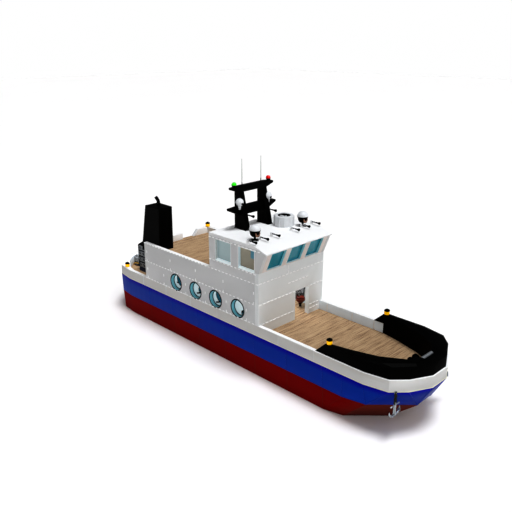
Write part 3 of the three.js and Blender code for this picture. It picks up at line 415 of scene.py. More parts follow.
def skin(rings, closed=False):
    """A closed shape through rings of points, an array of (ring, point, xyz). Four-sided faces join each ring
    to the next. The end rings are filled or, if it is closed, the last is joined to the first."""
    rings = np.asarray(rings, float)
    count, around = rings.shape[:2]
    i = np.arange(count if closed else count - 1)[:, None]
    j = np.arange(around)[None, :]
    i2, j2 = (i + 1) % count, (j + 1) % around
    corners = [i * around + j, i2 * around + j, i2 * around + j2, i * around + j2]
    faces = np.stack(corners, -1).reshape(-1, 4).tolist()
    if not closed:
        faces.append(list(range(around))[::-1])
        faces.append(list(range((count - 1) * around, count * around)))
    return rings.reshape(-1, 3), faces


def joined(*shapes):
    """Several shapes as one, their points and faces listed one after the other."""
    points, faces, start = [], [], 0
    for p, f in shapes:
        points.append(p)
        faces.extend([[start + k for k in face] for face in f])
        start += len(p)
    return np.concatenate(points), faces


def placed(shape, at=(0, 0, 0), turn=0.0, about="Z", mirror=False):
    """A shape turned about an axis through the origin, moved, and mirrored to port if asked."""
    points, faces = shape
    spin = np.array(Matrix.Rotation(turn, 3, about))
    points = points @ spin.T + np.asarray(at, float)
    if mirror:
        points = points * (1, -1, 1)
    return points, faces


def mirrored(*shapes):
    """Shapes and their mirror images across the ship's middle plane, as one shape."""
    shape = joined(*shapes)
    return joined(shape, placed(shape, mirror=True))


def extruded(outline, low, high, along):
    """A flat outline carried straight along X, Y or Z. Its two numbers are the other two axes in order."""
    outline = np.asarray(outline, float)
    axis = "XYZ".index(along)
    others = [k for k in range(3) if k != axis]
    rings = np.zeros((2, len(outline), 3))
    rings[:, :, others] = outline
    rings[0, :, axis], rings[1, :, axis] = low, high
    return skin(rings)


def block(x, y, z):
    """A bar between two bounds on each axis. Its edges are rounded when it becomes a piece."""
    return extruded([(y[0], z[0]), (y[1], z[0]), (y[1], z[1]), (y[0], z[1])], x[0], x[1], "X")


def turned(profile, at, axis=(0, 0, 1), sides=32, closed=False):
    """A profile of (radius, distance) points turned about an axis: each point goes round a circle whose
    centre is its distance along the axis. Points of no radius close into a pole, and a closed profile
    makes a ring."""
    profile = np.asarray(profile, float)
    angle = np.arange(sides) / sides * TAU
    ring = np.stack([np.cos(angle), np.sin(angle)], -1)
    points = np.concatenate(
        [
            profile[:, None, :1] * ring[None],
            np.broadcast_to(profile[:, None, 1:], (len(profile), sides, 1)),
        ],
        -1,
    )
    spin = np.array(Vector((0, 0, 1)).rotation_difference(Vector(axis)).to_matrix())
    return skin(points @ spin.T + np.asarray(at, float), closed)


def flat_ring(inner, outer, low, high):
    """The profile of a flat ring, or of a disc where the inner radius is 0: its four corners."""
    return [(inner, low), (outer, low), (outer, high), (inner, high)]


def circle(radius, sides=12):
    """A circle's points: the radius times the cosine and the sine of even steps of angle."""
    angle = np.arange(sides) / sides * TAU
    return np.stack([np.cos(angle), np.sin(angle)], -1) * radius


def rings_along(path, section, out, closed=False, size=None):
    """A section of (across, out) points at each point of a path, square to it: path + across * side + out *
    outward, with the side square to both path and outward. The section may grow or shrink by size."""
    path = np.asarray(path, float)
    if closed:
        ahead = np.roll(path, -1, 0) - np.roll(path, 1, 0)
    else:
        ahead = np.gradient(path, axis=0)
    ahead /= np.linalg.norm(ahead, axis=1, keepdims=True)
    out = np.broadcast_to(np.asarray(out, float), path.shape)
    side = np.cross(ahead, out)
    side /= np.linalg.norm(side, axis=1, keepdims=True)
    out = np.cross(side, ahead)
    size = np.ones(len(path)) if size is None else np.asarray(size, float)
    grown = np.asarray(section, float)[None] * size[:, None, None]
    return path[:, None] + grown[..., :1] * side[:, None] + grown[..., 1:] * out[:, None]


def carried(path, section, out, closed=False, size=None):
    """A bar: the rings along a path joined into one closed shape."""
    return skin(rings_along(path, section, out, closed, size), closed)


def pipe(path, outer, inner, out, sides=28):
    """An open pipe: rings of the outer radius along the path, then rings of the inner radius back."""
    outside = rings_along(path, circle(outer, sides), out)
    inside = rings_along(path, circle(inner, sides), out)
    return skin(np.concatenate([outside, inside[::-1]]), True)


def rod(a, b, radius, end=None, sides=16):
    """A round bar from one point to another, tapering if its end has another radius."""
    a, b = np.asarray(a, float), np.asarray(b, float)
    length = float(np.linalg.norm(b - a))
    end = radius if end is None else end
    return turned([(0, 0), (radius, 0), (end, length), (0, length)], a, (b - a) / length, sides)


def smooth_path(points, steps=8):
    """A round curve through points: between two of them, a cubic whose slope at each is half the way from
    its neighbour before to its neighbour after."""
    p = np.asarray(points, float)
    p = np.concatenate([[2 * p[0] - p[1]], p, [2 * p[-1] - p[-2]]])
    t = (np.arange(steps) / steps)[:, None]
    runs = []
    for a, b, c, d in zip(p[:-3], p[1:-2], p[2:-1], p[3:]):
        runs.append(
            0.5 * (
                2 * b + (c - a) * t + (2 * a - 5 * b + 4 * c - d) * t**2 + (3 * b - a - 3 * c + d) * t**3
            )
        )
    return np.concatenate(runs + [p[-2:-1]])


def piece(name, shape, finish, body="ship", replaces=(), edge=0.0, steps=2, sharp=35.0):
    """Makes a shape a named piece: its doubles are merged, its faces turned outwards, its edges rounded by a
    bevel of the width given, and it rides on a body and stands for the nodes named."""
    points, faces = shape
    mesh = bpy.data.meshes.new(name)
    mesh.from_pydata(points.tolist(), [], faces)
    work = bmesh.new()
    work.from_mesh(mesh)
    bmesh.ops.remove_doubles(work, verts=work.verts, dist=1e-5)
    bmesh.ops.recalc_face_normals(work, faces=work.faces)
    work.to_mesh(mesh)
    work.free()
    return dressed(name, mesh, finish, body, replaces, edge, steps, sharp)


def dressed(name, mesh, finish, body, replaces, edge, steps, sharp):
    """Gives a mesh its finish, rounded edges and place in the frame."""
    mesh.materials.clear()
    mesh.materials.append(finish)
    mesh.polygons.foreach_set("use_smooth", np.ones(len(mesh.polygons), bool))
    thing = bpy.data.objects.new(name, mesh)
    bpy.context.scene.collection.objects.link(thing)
    if edge:
        rounding = thing.modifiers.new("rounded_edges", "BEVEL")
        rounding.width = edge
        rounding.segments = steps
        rounding.limit_method = "ANGLE"
        rounding.angle_limit = math.radians(sharp)
        rounding.harden_normals = True
    else:
        mesh.set_sharp_from_angle(angle=math.radians(sharp))
    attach(thing, body)
    if replaces:
        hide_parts(*([replaces] if isinstance(replaces, str) else replaces))
    return thing


def plated(node, name, finish, edge=0.012, body="ship"):
    """The node's own plates with rounded edges: a copy of its triangles, merged, with flat neighbours made
    one face, and a bevel along every edge of over 30 degrees."""
    mesh = bpy.data.meshes.new(name)
    work = bmesh.new()
    work.from_mesh(nodes[node].data)
    bmesh.ops.remove_doubles(work, verts=work.verts, dist=2e-5)
    bmesh.ops.dissolve_limit(work, angle_limit=math.radians(0.3), verts=work.verts, edges=work.edges)
    work.to_mesh(mesh)
    work.free()
    return dressed(name, mesh, finish, body, node, edge, 2, 30.0)


def finish_node(node, finish):
    """A node whose shape is right keeps it and gets its finish."""
    for slot in nodes[node].material_slots:
        slot.material = finish


# Sizes of the ship, as the frame has them

BEAM = 2.875
INNER = 2.625
STRAKE, DECK, CAP, BOW_CAP = 2.705, 2.763, 3.373, 3.99
UPPER_DECK, UPPER_CAP, SILL, ROOF = 5.5, 5.948, 6.588, 8.179
HOUSE_AFT, HOUSE_FORE, WHEELHOUSE_AFT = -8.0, 3.1, -1.14
RAKE = 0.4125
WATERLINE = 1.364
# Columns: x and y at the flat bottom, at the waterline and at the strake, from stern to bow on the port side.
STATIONS = np.array(
    [
        [(-13.04, 0.45), (-13.11, 0.48), (-13.15, 0.5)], [(-12.69, 1.23), (-12.765, 1.275), (-12.8, 1.3)],
        [(-12.06, 1.96), (-12.12, 2.02), (-12.15, 2.05)], [(-11.35, 2.55), (-11.385, 2.625), (-11.4, 2.66)],
        [(-10.08, 2.72), (-10.09, 2.83), (-10.1, BEAM)], [(7.92, 2.7), (9.2, 2.8), (9.2, BEAM)],
        [(9.07, 2.43), (10.5, 2.52), (10.5, BEAM)], [(9.07, 2.43), (10.5, 2.52), (11.85, 2.6)],
        [(10.85, 0.66), (12.4, 0.65), (12.55, 1.87)], [(10.85, 0.66), (12.4, 0.65), (13.15, 0.66)],
    ]
)
# Half the width between the upper bulwarks, and the levels that the welds run between.
UPPER_HALF = 2.6245
SEAM_LEVELS = (0.03, WATERLINE, STRAKE)
# Inner edge of the white bulwark on the port side.
BULWARK_INNER = np.array(
    [
        (-12.64, 0.38), (-12.56, 0.78), (-12.19, 1.26), (-11.68, 1.76), (-10.58, 2.42), (-9.8, INNER),
        (7.95, INNER), (7.951, 2.795), (10.49, 2.795), (11.8, 2.53), (12.475, 1.825), (13.07, 0.64),
    ]
)
PORTS = (-4.57, -2.58, -0.65, 1.34)
PORT_HEIGHT = 3.95


def whole(half):
    """A whole outline from its port half, anticlockwise seen from above."""
    half = np.asarray(half, float)
    return np.concatenate([half * (1, -1), half[::-1]])


def plan_normals(outline):
    """The outward direction at each corner of an anticlockwise outline, level with the deck."""
    ahead = np.roll(outline, -1, 0) - np.roll(outline, 1, 0)
    ahead /= np.linalg.norm(ahead, axis=1, keepdims=True)
    return np.stack([ahead[:, 1], -ahead[:, 0], np.zeros(len(outline))], -1)


def at_height(outline, z):
    """An outline's points with the same z added to each."""
    return np.concatenate([outline, np.full((len(outline), 1), z)], 1)


def bead_section(width, proud):
    """A flattened half round, standing proud of a plate and sunk 3 mm into it."""
    angle = np.linspace(0, TAU / 2, 7)
    arc = np.stack([np.cos(angle) * width / 2, np.sin(angle) * proud], -1)
    return np.concatenate([[(width / 2, -0.003)], arc, [(-width / 2, -0.003)]])


STRAP = bead_section(0.066, 0.028)
WELD = bead_section(0.034, 0.013)
FORE, AFT, UP, ACROSS = (1, 0, 0), (-1, 0, 0), (0, 0, 1), (0, 1, 0)
OUT = (0, -1, 0)  # outwards on the starboard side


def stitched(a, b, out, run=0.22, pitch=0.32, section=STRAP):
    """A seam welded in stitches: runs of bead one pitch apart, from one end of the line to the other."""
    a, b = np.array(a, float), np.array(b, float)
    length = np.linalg.norm(b - a)
    starts = np.arange(0, length - run * 0.5, pitch)
    ends = np.minimum(starts + run, length)
    ways = [(a + (b - a) * s / length, a + (b - a) * e / length) for s, e in zip(starts, ends)]
    return joined(*[carried(way, section, out) for way in ways])


# Hull

plated("hull_bottom", "bottom_plating", red, 0.01)
plated("hull_topsides", "topside_plating", blue, 0.006)
plated("main_bulwark", "bulwark_plating", strake_painted_shade_and_glow, 0.014)
plated("bow_bulwark", "bow_bulwark_plating", deck_black, 0.02)


def hull_seam(x, low, high):
    """A vertical weld on the starboard side: at each level, the side's y found between its stations."""
    path = []
    for level in range(low, high + 1):
        y = np.interp(x, STATIONS[:, level, 0], STATIONS[:, level, 1])
        path.append((x, -y, SEAM_LEVELS[level]))
    return carried(path, WELD, OUT)


# Where the curves of the bow and the stern have their centres, in x.
BOW_CENTRE, STERN_CENTRE = 9.0, -9.5


def knuckle_seam(station, low, high):
    """A weld down a knuckle, where two facets meet, facing away from the centre of its curve."""
    path = [(*(STATIONS[station, level] * (1, -1)), SEAM_LEVELS[level]) for level in range(low, high + 1)]
    x, y = STATIONS[station, high]
    out = Vector((x - (BOW_CENTRE if x > 0 else STERN_CENTRE), -y, 0)).normalized()
    return carried(path, WELD, out)


SEAMS = (-7.72, -5.12, -2.47, 0.09, 2.69, 5.29, 7.89)
piece(
    "bottom_welds",
    mirrored(*[hull_seam(x, 0, 1) for x in SEAMS], *[knuckle_seam(k, 0, 1) for k in (2, 3, 5, 6, 8)]), red,
)
piece(
    "topside_welds",
    mirrored(*[hull_seam(x, 1, 2) for x in SEAMS], *[knuckle_seam(k, 1, 2) for k in (2, 3, 5, 6, 7, 8, 9)]),
    blue,
)

STRAKE_OUTLINE = whole(STATIONS[:, 2])


def strake_line(z, section):
    """A section carried round the strake's outline at a height, square to the outline."""
    return carried(at_height(STRAKE_OUTLINE, z), section, plan_normals(STRAKE_OUTLINE), closed=True)


piece("strake_edge_bar", strake_line(STRAKE + 0.012, bead_section(0.03, 0.014)), cream)
piece(
    "strake_straps",
    mirrored(
        *[
            carried([(x, -BEAM, STRAKE + 0.03), (x, -BEAM, CAP - 0.02)], WELD, OUT)
            for x in (-8.34, -5.74, -3.14, -0.54, 2.06, 4.66, 7.26)
        ],
        stitched(
            (10.62, -2.85, 3.08), (11.78, -2.614, 3.08), Vector((0.2, -1, 0)).normalized(), 0.06, 0.12, WELD
        ),
    ),
    strake_painted_shade_and_glow,
)
# Inside the bulwark the plates meet under flat straps.
piece(
    "bulwark_braces",
    mirrored(
        *[
            block((x - 0.03, x + 0.03), (-INNER - 0.002, -INNER + 0.012), (DECK, CAP - 0.05))
            for x in (-9.3, 3.75, 5.7, 7.3)
        ]
    ),
    white, edge=0.003,
)


def plank_deck(name, node, low, high, half_width, bottom, top):
    """Planks laid across the ship, one at each pitch with a joint between two. Each is a tapering bar whose
    ends follow the half width at its two edges, with its top edges eased by 3 mm, on a bed of caulk."""
    aft = np.arange(round((high - low) / PLANK)) * PLANK + low
    aft = aft[aft + PLANK < high + 0.01]
    a, b = aft + JOINT / 2, aft + PLANK - JOINT / 2
    ya, yb = half_width(a), half_width(b)
    rings = []
    for z, ease in ((bottom, 0.0), (top - 0.003, 0.0), (top, 0.003)):
        corners = [
            (a + ease, -ya + ease), (b - ease, -yb + ease), (b - ease, yb - ease), (a + ease, ya - ease)
        ]
        rings.append(np.stack([np.stack([x, y, np.full(len(x), z)], -1) for x, y in corners], 1))
    stacks = np.stack(rings, 1)
    piece(name, joined(*[skin(stack) for stack in stacks]), planks, replaces=node)
    edge = np.linspace(low, high, 120)
    outline = whole(np.stack([edge, half_width(edge) - 0.002], -1))
    bed = extruded(outline, bottom, top - 0.008, "Z")
    piece(name + "_caulk", bed, caulk, replaces=node)


def deck_half(x):
    """Half the main deck's width: the bulwark's inner edge between its corners, less a gap of 1 mm."""
    return np.interp(x, BULWARK_INNER[:, 0], BULWARK_INNER[:, 1]) - 0.001


plank_deck("main_deck_planks", "main_deck", -12.63, 13.06, deck_half, STRAKE, DECK)
plank_deck(
    "upper_deck_planks", "upper_deck", HOUSE_AFT, 2.7997, lambda x: np.full(np.shape(x), UPPER_HALF), 5.35,
    UPPER_DECK,
)
# The upper deck's aft edge is plated, so its bed of caulk doesn't show.
edge_plate = block(
    (HOUSE_AFT - 0.006, HOUSE_AFT - 0.0003), (-UPPER_HALF, UPPER_HALF), (5.352, UPPER_DECK - 0.004)
)
piece("upper_deck_edge_plate", edge_plate, white)
# A tread mat on the starboard bow, where the crew steps across: a sheet cut to follow the cap, with studs.
MAT = np.array([(11.22, -2.4), (11.83, -2.38), (12.6, -1.44), (12.42, -1.22)])
mat = [extruded(MAT, BOW_CAP - 0.001, BOW_CAP + 0.004, "Z")]
stud_x, stud_y = np.meshgrid(np.arange(11.2, 12.65, 0.05), np.arange(-2.45, -1.2, 0.05))
mat_edges = np.roll(MAT, -1, 0) - MAT
depths = [
    (ex * (stud_y - y) - ey * (stud_x - x)) / math.hypot(ex, ey) for (x, y), (ex, ey) in zip(MAT, mat_edges)
]
for x, y in np.stack([stud_x, stud_y], -1)[np.min(depths, 0) > 0.025]:
    mat.append(block((x - 0.012, x + 0.012), (y - 0.012, y + 0.012), (BOW_CAP + 0.003, BOW_CAP + 0.008)))
piece("tread_mat", joined(*mat), tread)


ROLLER_AT, ROLLER_HALF, ROLLER_RADIUS = np.array([12.3, 0, 3.9]), 0.475, 0.11


def ribbed_roller():
    """The roller's profile turned about its axle: the radius dips 9 mm between its fifteen ribs."""
    half = ROLLER_HALF
    y = np.linspace(-half, half, 121)
    ribs = ROLLER_RADIUS - 0.009 * (0.5 - 0.5 * np.cos((y + half) / (2 * half) * TAU * 15)) ** 0.5
    profile = np.concatenate(
        [[(0, -half), (0.09, -half)], np.stack([ribs, y], -1)[2:-2], [(0.09, half), (0, half)]]
    )
    return turned(profile, ROLLER_AT, ACROSS, 40)


piece(
    "ribbed_bow_roller",
    joined(ribbed_roller(), rod(ROLLER_AT - (0, 0.54, 0), ROLLER_AT + (0, 0.54, 0), 0.04, sides=20)),
    worn_steel, body="bow_roller_body", replaces="bow_roller",
)


# Deckhouse and wheelhouse plating

for side in ("starboard", "port"):
    plated(f"deckhouse_side_{side}", f"{side}_deckhouse_plating", side_white_painted_shade)
    plated(f"wheelhouse_side_{side}", f"{side}_wheelhouse_plating", cabin_white_painted_shade)
    plated(f"upper_bulwark_{side}", f"{side}_upper_bulwark_plating", side_white_painted_shade)
plated("deckhouse_aft_wall", "aft_wall_plating", white, 0.003)
plated("front_wall", "front_wall_plating", cool_white, 0.01)
plated("wheelhouse_aft_wall", "wheelhouse_aft_plating", white, 0.003)
# The lining of the wheelhouse's aft wall: a sheet on either side of its door, and one over it.
SHEET = (WHEELHOUSE_AFT + 0.25, WHEELHOUSE_AFT + 0.262)
DOOR_HALF, LINTEL, DECKHEAD = 0.47, 7.55, 7.9
lining = [block(SHEET, ys, (UPPER_DECK + 0.01, DECKHEAD)) for ys in ((-2.6, -DOOR_HALF), (DOOR_HALF, 2.6))]
lining.append(block(SHEET, (-DOOR_HALF, DOOR_HALF), (LINTEL, DECKHEAD)))
piece("wheelhouse_lining", joined(*lining), vinyl)
plated("windscreen_frame", "windscreen_plating", warm_white, 0.01)


def side_strap(a, b):
    """A stitched strap on the starboard side between two (x, z) points, sparser where it runs upright."""
    upright = a[0] == b[0]
    return stitched((a[0], -BEAM, a[1]), (b[0], -BEAM, b[1]), OUT, 0.16, 0.62 if upright else 0.32)


SIDE_STRAPS = [
    ((HOUSE_AFT + 0.02, 4.63), (2.79, 4.63)), ((HOUSE_AFT + 0.02, CAP + 0.02), (2.79, CAP + 0.02)),
    ((HOUSE_AFT + 0.02, UPPER_CAP - 0.03), (3.08, UPPER_CAP - 0.03)),
    ((WHEELHOUSE_AFT + 0.02, 6.49), (3.08, 6.49)), ((WHEELHOUSE_AFT + 0.02, 7.915), (3.2, 7.915)),
]
SIDE_STRAPS += [((x, 4.63), (x, UPPER_CAP - 0.03)) for x in (-7.72, -5.12, -2.52, 0.09, 2.7)]
SIDE_STRAPS += [((x, CAP + 0.02), (x, 4.63)) for x in (-7.72, -5.9, -3.57, -1.61, 0.34, 2.1)]
piece("side_straps", mirrored(*[side_strap(a, b) for a, b in SIDE_STRAPS]), seam_white_painted_highlight)

# Columns: y and z of one end, y and z of the other.
FRONT_STRAPS = [
    ((-2.86, 5.965), (2.86, 5.965)), ((-0.4, 5.34), (1.5, 5.34)), ((-2.86, 4.66), (0.24, 4.66)),
    ((1.62, 4.66), (2.86, 4.66)), ((-2.62, 3.385), (0.24, 3.385)), ((1.62, 3.385), (2.62, 3.385)),
    ((1.62, 3.11), (2.4, 3.11)), ((-0.4, 5.965), (-0.4, 6.56)),
]
piece(
    "front_straps", joined(*[stitched((HOUSE_FORE, *a), (HOUSE_FORE, *b), FORE) for a, b in FRONT_STRAPS]),
    seam_white_painted_highlight,
)


def ring_path(y0, y1, z0, z1, radius, steps=5):
    """A rectangle with round corners, as (across, up) points: four quarter turns about its corner centres."""
    points = []
    for k, (cy, cz) in enumerate(
        [
            (y1 - radius, z1 - radius), (y0 + radius, z1 - radius), (y0 + radius, z0 + radius),
            (y1 - radius, z0 + radius),
        ]
    ):
        angle = (k + np.linspace(0, 1, steps)) * TAU / 4
        points += list(zip(cy + radius * np.cos(angle), cz + radius * np.sin(angle)))
    return np.array(points)


FRAME_BAR = np.array(
    [(-0.022, -0.004), (0.022, -0.004), (0.022, 0.008), (0.014, 0.012), (-0.014, 0.012), (-0.022, 0.008)]
)
GASKET = circle(0.011, 8)
# Columns: the bounds of each side window's opening, along and up.
SIDE_WINDOWS = ((-0.54, 0.79, 6.55, 7.86), (1.45, 2.75, 6.57, 7.86))
REVEAL = (-BEAM + 0.001, -2.722)
frames, gaskets, sills, jambs = [], [], [], []
for x0, x1, z0, z1 in SIDE_WINDOWS:
    frame_ring = ring_path(x0 - 0.024, x1 + 0.024, z0 - 0.024, z1 + 0.024, 0.03)
    frames.append(carried(np.insert(frame_ring, 1, -BEAM, 1), FRAME_BAR, OUT, closed=True))
    inner_ring = ring_path(x0 + 0.009, x1 - 0.009, z0 + 0.009, z1 - 0.009, 0.02)
    for y in (-2.709, -2.681):
        gaskets.append(carried(np.insert(inner_ring, 1, y, 1), GASKET, OUT, closed=True))
    slope = zip(REVEAL[:1] * 2 + REVEAL[1:] * 2, (z0 - 0.001, z0 + 0.012, z0 + 0.1, z0 - 0.001))
    sills.append(extruded(list(slope), x0, x1, "X"))
    jambs.append(block((x0 - 0.001, x0 + 0.008), REVEAL, (z0 + 0.008, z1)))
piece("side_window_frames", mirrored(*frames), white)
piece("side_window_sills", mirrored(*sills), reveal_sill_painted_light)
piece("aft_window_jambs", mirrored(jambs[0]), grey_jamb)
piece("fore_window_jambs", mirrored(jambs[1]), reveal_jamb_painted_light)
piece("side_window_gaskets", mirrored(*gaskets), pale_rubber)
# A strip of teal sun film in the fore window's upper fore corner.
sun_strip = block((2.32, 2.735), (-2.713, -2.7105), (7.33, 7.845))
piece("side_window_sun_strips", mirrored(sun_strip), sun_film)


def on_screen(y, z, proud):
    """Points on the raked windscreen's front: x grows by the rake with each metre of height."""
    return np.stack(np.broadcast_arrays(HOUSE_FORE + (z - SILL) * RAKE + proud, y, z), -1)


def behind_screen(low, high):
    """An outline of (x, z) between two heights, from 148 mm to 4 mm behind the windscreen's front."""
    z, proud = np.array([low, low, high, high]), np.array([-0.148, -0.004, -0.004, -0.148])
    return on_screen(0, z, proud)[:, ::2]


screen_gaskets, screen_sills, screen_cheeks = [], [], []
for y in (-1.65, 0.0, 1.65):
    ring = ring_path(y - 0.588, y + 0.588, 6.664, 7.726, 0.03)
    path = on_screen(ring[:, 0], ring[:, 1], -0.165)
    screen_gaskets.append(carried(path, circle(0.012, 8), Vector((1, 0, -RAKE)).normalized(), closed=True))
    screen_sills.append(extruded(behind_screen(6.654, 6.664), y - 0.585, y + 0.585, "Y"))
    for way in (-1, 1):
        screen_cheeks.append(extruded(behind_screen(6.666, 7.72), y + way * 0.59, y + way * 0.598, "Y"))
piece("windscreen_sills", joined(*screen_sills), screen_sill_painted_light)
piece("windscreen_reveals", joined(*screen_cheeks), screen_reveal_painted_light)
piece("windscreen_gaskets", joined(*screen_gaskets), rubber)
for side in ("starboard", "port"):
    for where, glass in (("aft", filmed_glass), ("fore", clear_glass)):
        finish_node(f"side_window_{side}_{where}", glass)
finish_node("windscreen_glass", screen_glass)


def reflection_film(x, shift, bare):
    """A pale sheet on a port's pane, 1 mm thick, that paints a reflection on the glass, and the black tape
    along its inner edge. The sheet is the pane's circle less the part of a second circle, of the bare radius,
    whose centre is shifted. Each edge is an arc between the points where the circles meet."""
    size = 0.49
    dx, dz = shift
    apart = math.hypot(dx, dz)
    toward = math.atan2(dz, dx)
    half = math.acos((apart**2 + size**2 - bare**2) / (2 * apart * size))
    inner_half = math.acos((apart**2 + bare**2 - size**2) / (2 * apart * bare))
    outer = toward + half + np.linspace(0, TAU - 2 * half, 40)
    back = toward + TAU / 2 + inner_half - np.linspace(0, 2 * inner_half, 40)
    edge = np.stack([x + size * np.cos(outer), PORT_HEIGHT + size * np.sin(outer)], -1)
    inner = np.stack([x + dx + bare * np.cos(back), PORT_HEIGHT + dz + bare * np.sin(back)], -1)
    sheet = extruded(np.concatenate([edge, inner[1:-1]]), -INNER - 0.0315, -INNER - 0.0305, "Y")
    tape_path = np.insert(inner, 1, -INNER - 0.032, 1)
    return sheet, carried(tape_path, [(-0.02, -0.002), (0.02, -0.002), (0.02, 0.003), (-0.02, 0.003)], OUT)


# Profiles of a port's rim, lining, gasket and pane: radius and distance outwards from the inner face.
RIM = [
    (0.522, 0.007), (0.5595, 0.007), (0.5595, 0.2505), (0.594, 0.2505), (0.594, 0.257), (0.586, 0.263),
    (0.53, 0.263), (0.522, 0.25),
]
LINING = [(0.498, 0.03), (0.5225, 0.03), (0.5225, 0.25), (0.514, 0.254), (0.506, 0.246)]
SEAL = [(0.455, 0.029), (0.5, 0.029), (0.5, 0.05), (0.485, 0.054), (0.462, 0.04)]
PANE = [(0, 0.006), (0.521, 0.006), (0.521, 0.026), (0.4, 0.028), (0.2, 0.0295), (0, 0.03)]
BOLT, BOLT_CIRCLE, BOLTS = [(0, 0), (0.014, 0), (0.012, 0.006), (0, 0.008)], 0.562, 16
# The bare part of the painted reflection on each port: the shift of its centre across and up, and its radius.
BARE = ((0.36, 0.22, 0.5), (0.31, 0.06, 0.235), (0.34, 0.26, 0.5), (0.33, -0.3, 0.2))
rims, linings, panes, bolts, reflection_films, tapes = [], [], [], [], [], []
for x, (dx, dz, bare) in zip(PORTS, BARE):
    sheet, tape = reflection_film(x, (dx, dz), bare)
    reflection_films.append(sheet)
    tapes.append(tape)
    centre = (x, -INNER, PORT_HEIGHT)
    for shapes, profile in ((rims, RIM), (linings, LINING), (tapes, SEAL)):
        shapes.append(turned(profile, centre, OUT, 72, closed=True))
    panes.append(turned(PANE, centre, OUT, 72))
    for angle in (np.arange(BOLTS) + 0.5) * TAU / BOLTS:
        u, w = BOLT_CIRCLE * math.cos(angle), BOLT_CIRCLE * math.sin(angle)
        bolts.append(turned(BOLT, (x + u, -BEAM - 0.012, PORT_HEIGHT + w), OUT, 6))
ALL_PORTS = [f"porthole_{side}_{k}" for side in ("starboard", "port") for k in (1, 2, 3, 4)]
# Each port's catch. Columns: its bar's middle across and up from the port's, half its length, its tilt.
CATCHES = (
    (-0.05, -0.06, 0.08, 0.0), (0.1, -0.18, 0.18, 0.33), (0.03, -0.24, 0.17, 0.33), (0.3, -0.2, 0.13, 0.0)
)
catches = []
for x, (dx, dz, half, tilt) in zip(PORTS, CATCHES):
    u, w = x + dx, PORT_HEIGHT + dz
    catches.append(rod((u, -INNER - 0.032, w), (u, -INNER - 0.075, w), 0.035, sides=20))
    along = half * np.array((math.cos(tilt), math.sin(tilt)))
    up = 0.045 * np.array((-math.sin(tilt), math.cos(tilt)))
    bar = [(u, w) + a * along + b * up for a, b in ((-1, -1), (1, -1), (1, 1), (-1, 1))]
    catches.append(extruded(bar, -INNER - 0.09, -INNER - 0.07, "Y"))
piece("port_catches", mirrored(*catches), gloss_black, edge=0.006)
piece("port_rims", mirrored(*rims), gloss_black, replaces=ALL_PORTS)
piece("port_linings", mirrored(*linings), teal_lining, replaces=ALL_PORTS)
piece("port_panes", mirrored(*panes), port_glass, replaces=ALL_PORTS)
piece("port_painted_reflections", mirrored(*reflection_films), port_painted_reflection)
piece("port_tapes", mirrored(*tapes), rubber)
piece("port_bolts", mirrored(*bolts), steel)


# Roof and what stands on it

ROOF_PROFILE = [
    (-1.14, 7.979), (3.1216, 7.979), (3.705, 7.799), (3.705, 7.889), (2.765, ROOF), (-1.14, ROOF)
]
piece(
    "roof_plating", extruded(ROOF_PROFILE, -BEAM, BEAM, "Y"), white, replaces="roof",
    edge=0.025, steps=3,
)


HORN_RADIUS, BELL_RADIUS = 0.036, 0.087


def horn(x, y, z, length):
    """A trumpet horn, as four shapes: its driver, its tube, its bands and its bell, whose radius grows with
    the square of the distance along it."""
    run = np.linspace(0, 1, 9)
    flare = np.stack([HORN_RADIUS + (BELL_RADIUS - HORN_RADIUS) * run**2, length * (0.6 + 0.4 * run)], -1)
    throat = np.stack([flare[::-1, 0] - 0.006, flare[::-1, 1]], -1)[:-1]
    bell = np.concatenate([[(0, length * 0.6)], flare, throat, [(0, length * 0.66)]])
    at = (x, y, z)
    driver = [
        (0, -0.07), (0.04, -0.068), (0.058, -0.05), (0.062, -0.02), (0.062, 0.03), (0.05, 0.05), (0, 0.06)
    ]
    tube = flat_ring(0, 0.034, 0.03, length * 0.62)
    bands = [
        turned(flat_ring(0.03, 0.041, d - 0.016, d + 0.016), at, FORE, 20, closed=True)
        for d in (0.09, length * 0.35, length * 0.58)
    ]
    ends = [turned(profile, at, FORE, 20) for profile in (driver, tube)]
    return *ends, joined(*bands), turned(bell, at, FORE, 28)


HORN_FOOT = [
    (0, 0), (0.1, 0), (0.1, 0.018), (0.078, 0.026), (0.07, 0.12), (0.074, 0.2), (0.06, 0.214), (0, 0.214)
]
ROOF_HORNS = (-2.75, -1.8, -0.85, 0.85, 1.8, 2.75)
drivers, tubes, bands, bells = zip(*[horn(2.14, y, 8.35, 0.66) for y in ROOF_HORNS])
posts = [turned(HORN_FOOT, (2.14, y, ROOF - 0.003), UP, 24) for y in ROOF_HORNS]
piece("horn_posts", joined(*posts), white, replaces="roof")
piece("horn_tubes", joined(*tubes), steel, replaces="roof")
piece("horn_drivers", joined(*drivers), grey, replaces="roof")
piece("horn_bells", joined(*bands, *bells), gloss_black, replaces="roof")

# The searchlights' axes: x, and y on either side. Their lamps are at the height named last.
LIGHT_X, LIGHT_Y, LIGHT_HEIGHT = 2.0, 2.07, 8.75
LIGHT_BOSS = [(0, 0), (0.092, 0), (0.088, 0.05), (0.07, 0.078), (0, 0.0805)]
cross = []
for y in (-LIGHT_Y, LIGHT_Y):
    cross.append(block((1.74, 2.26), (y - 0.045, y + 0.045), (ROOF - 0.01, ROOF + 0.04)))
    cross.append(block((1.955, 2.045), (y - 0.26, y + 0.26), (ROOF - 0.01, ROOF + 0.041)))
    cross.append(turned(LIGHT_BOSS, (LIGHT_X, y, ROOF), UP, 28))
piece("searchlight_feet", joined(*cross), gloss_black, replaces="roof", edge=0.006)

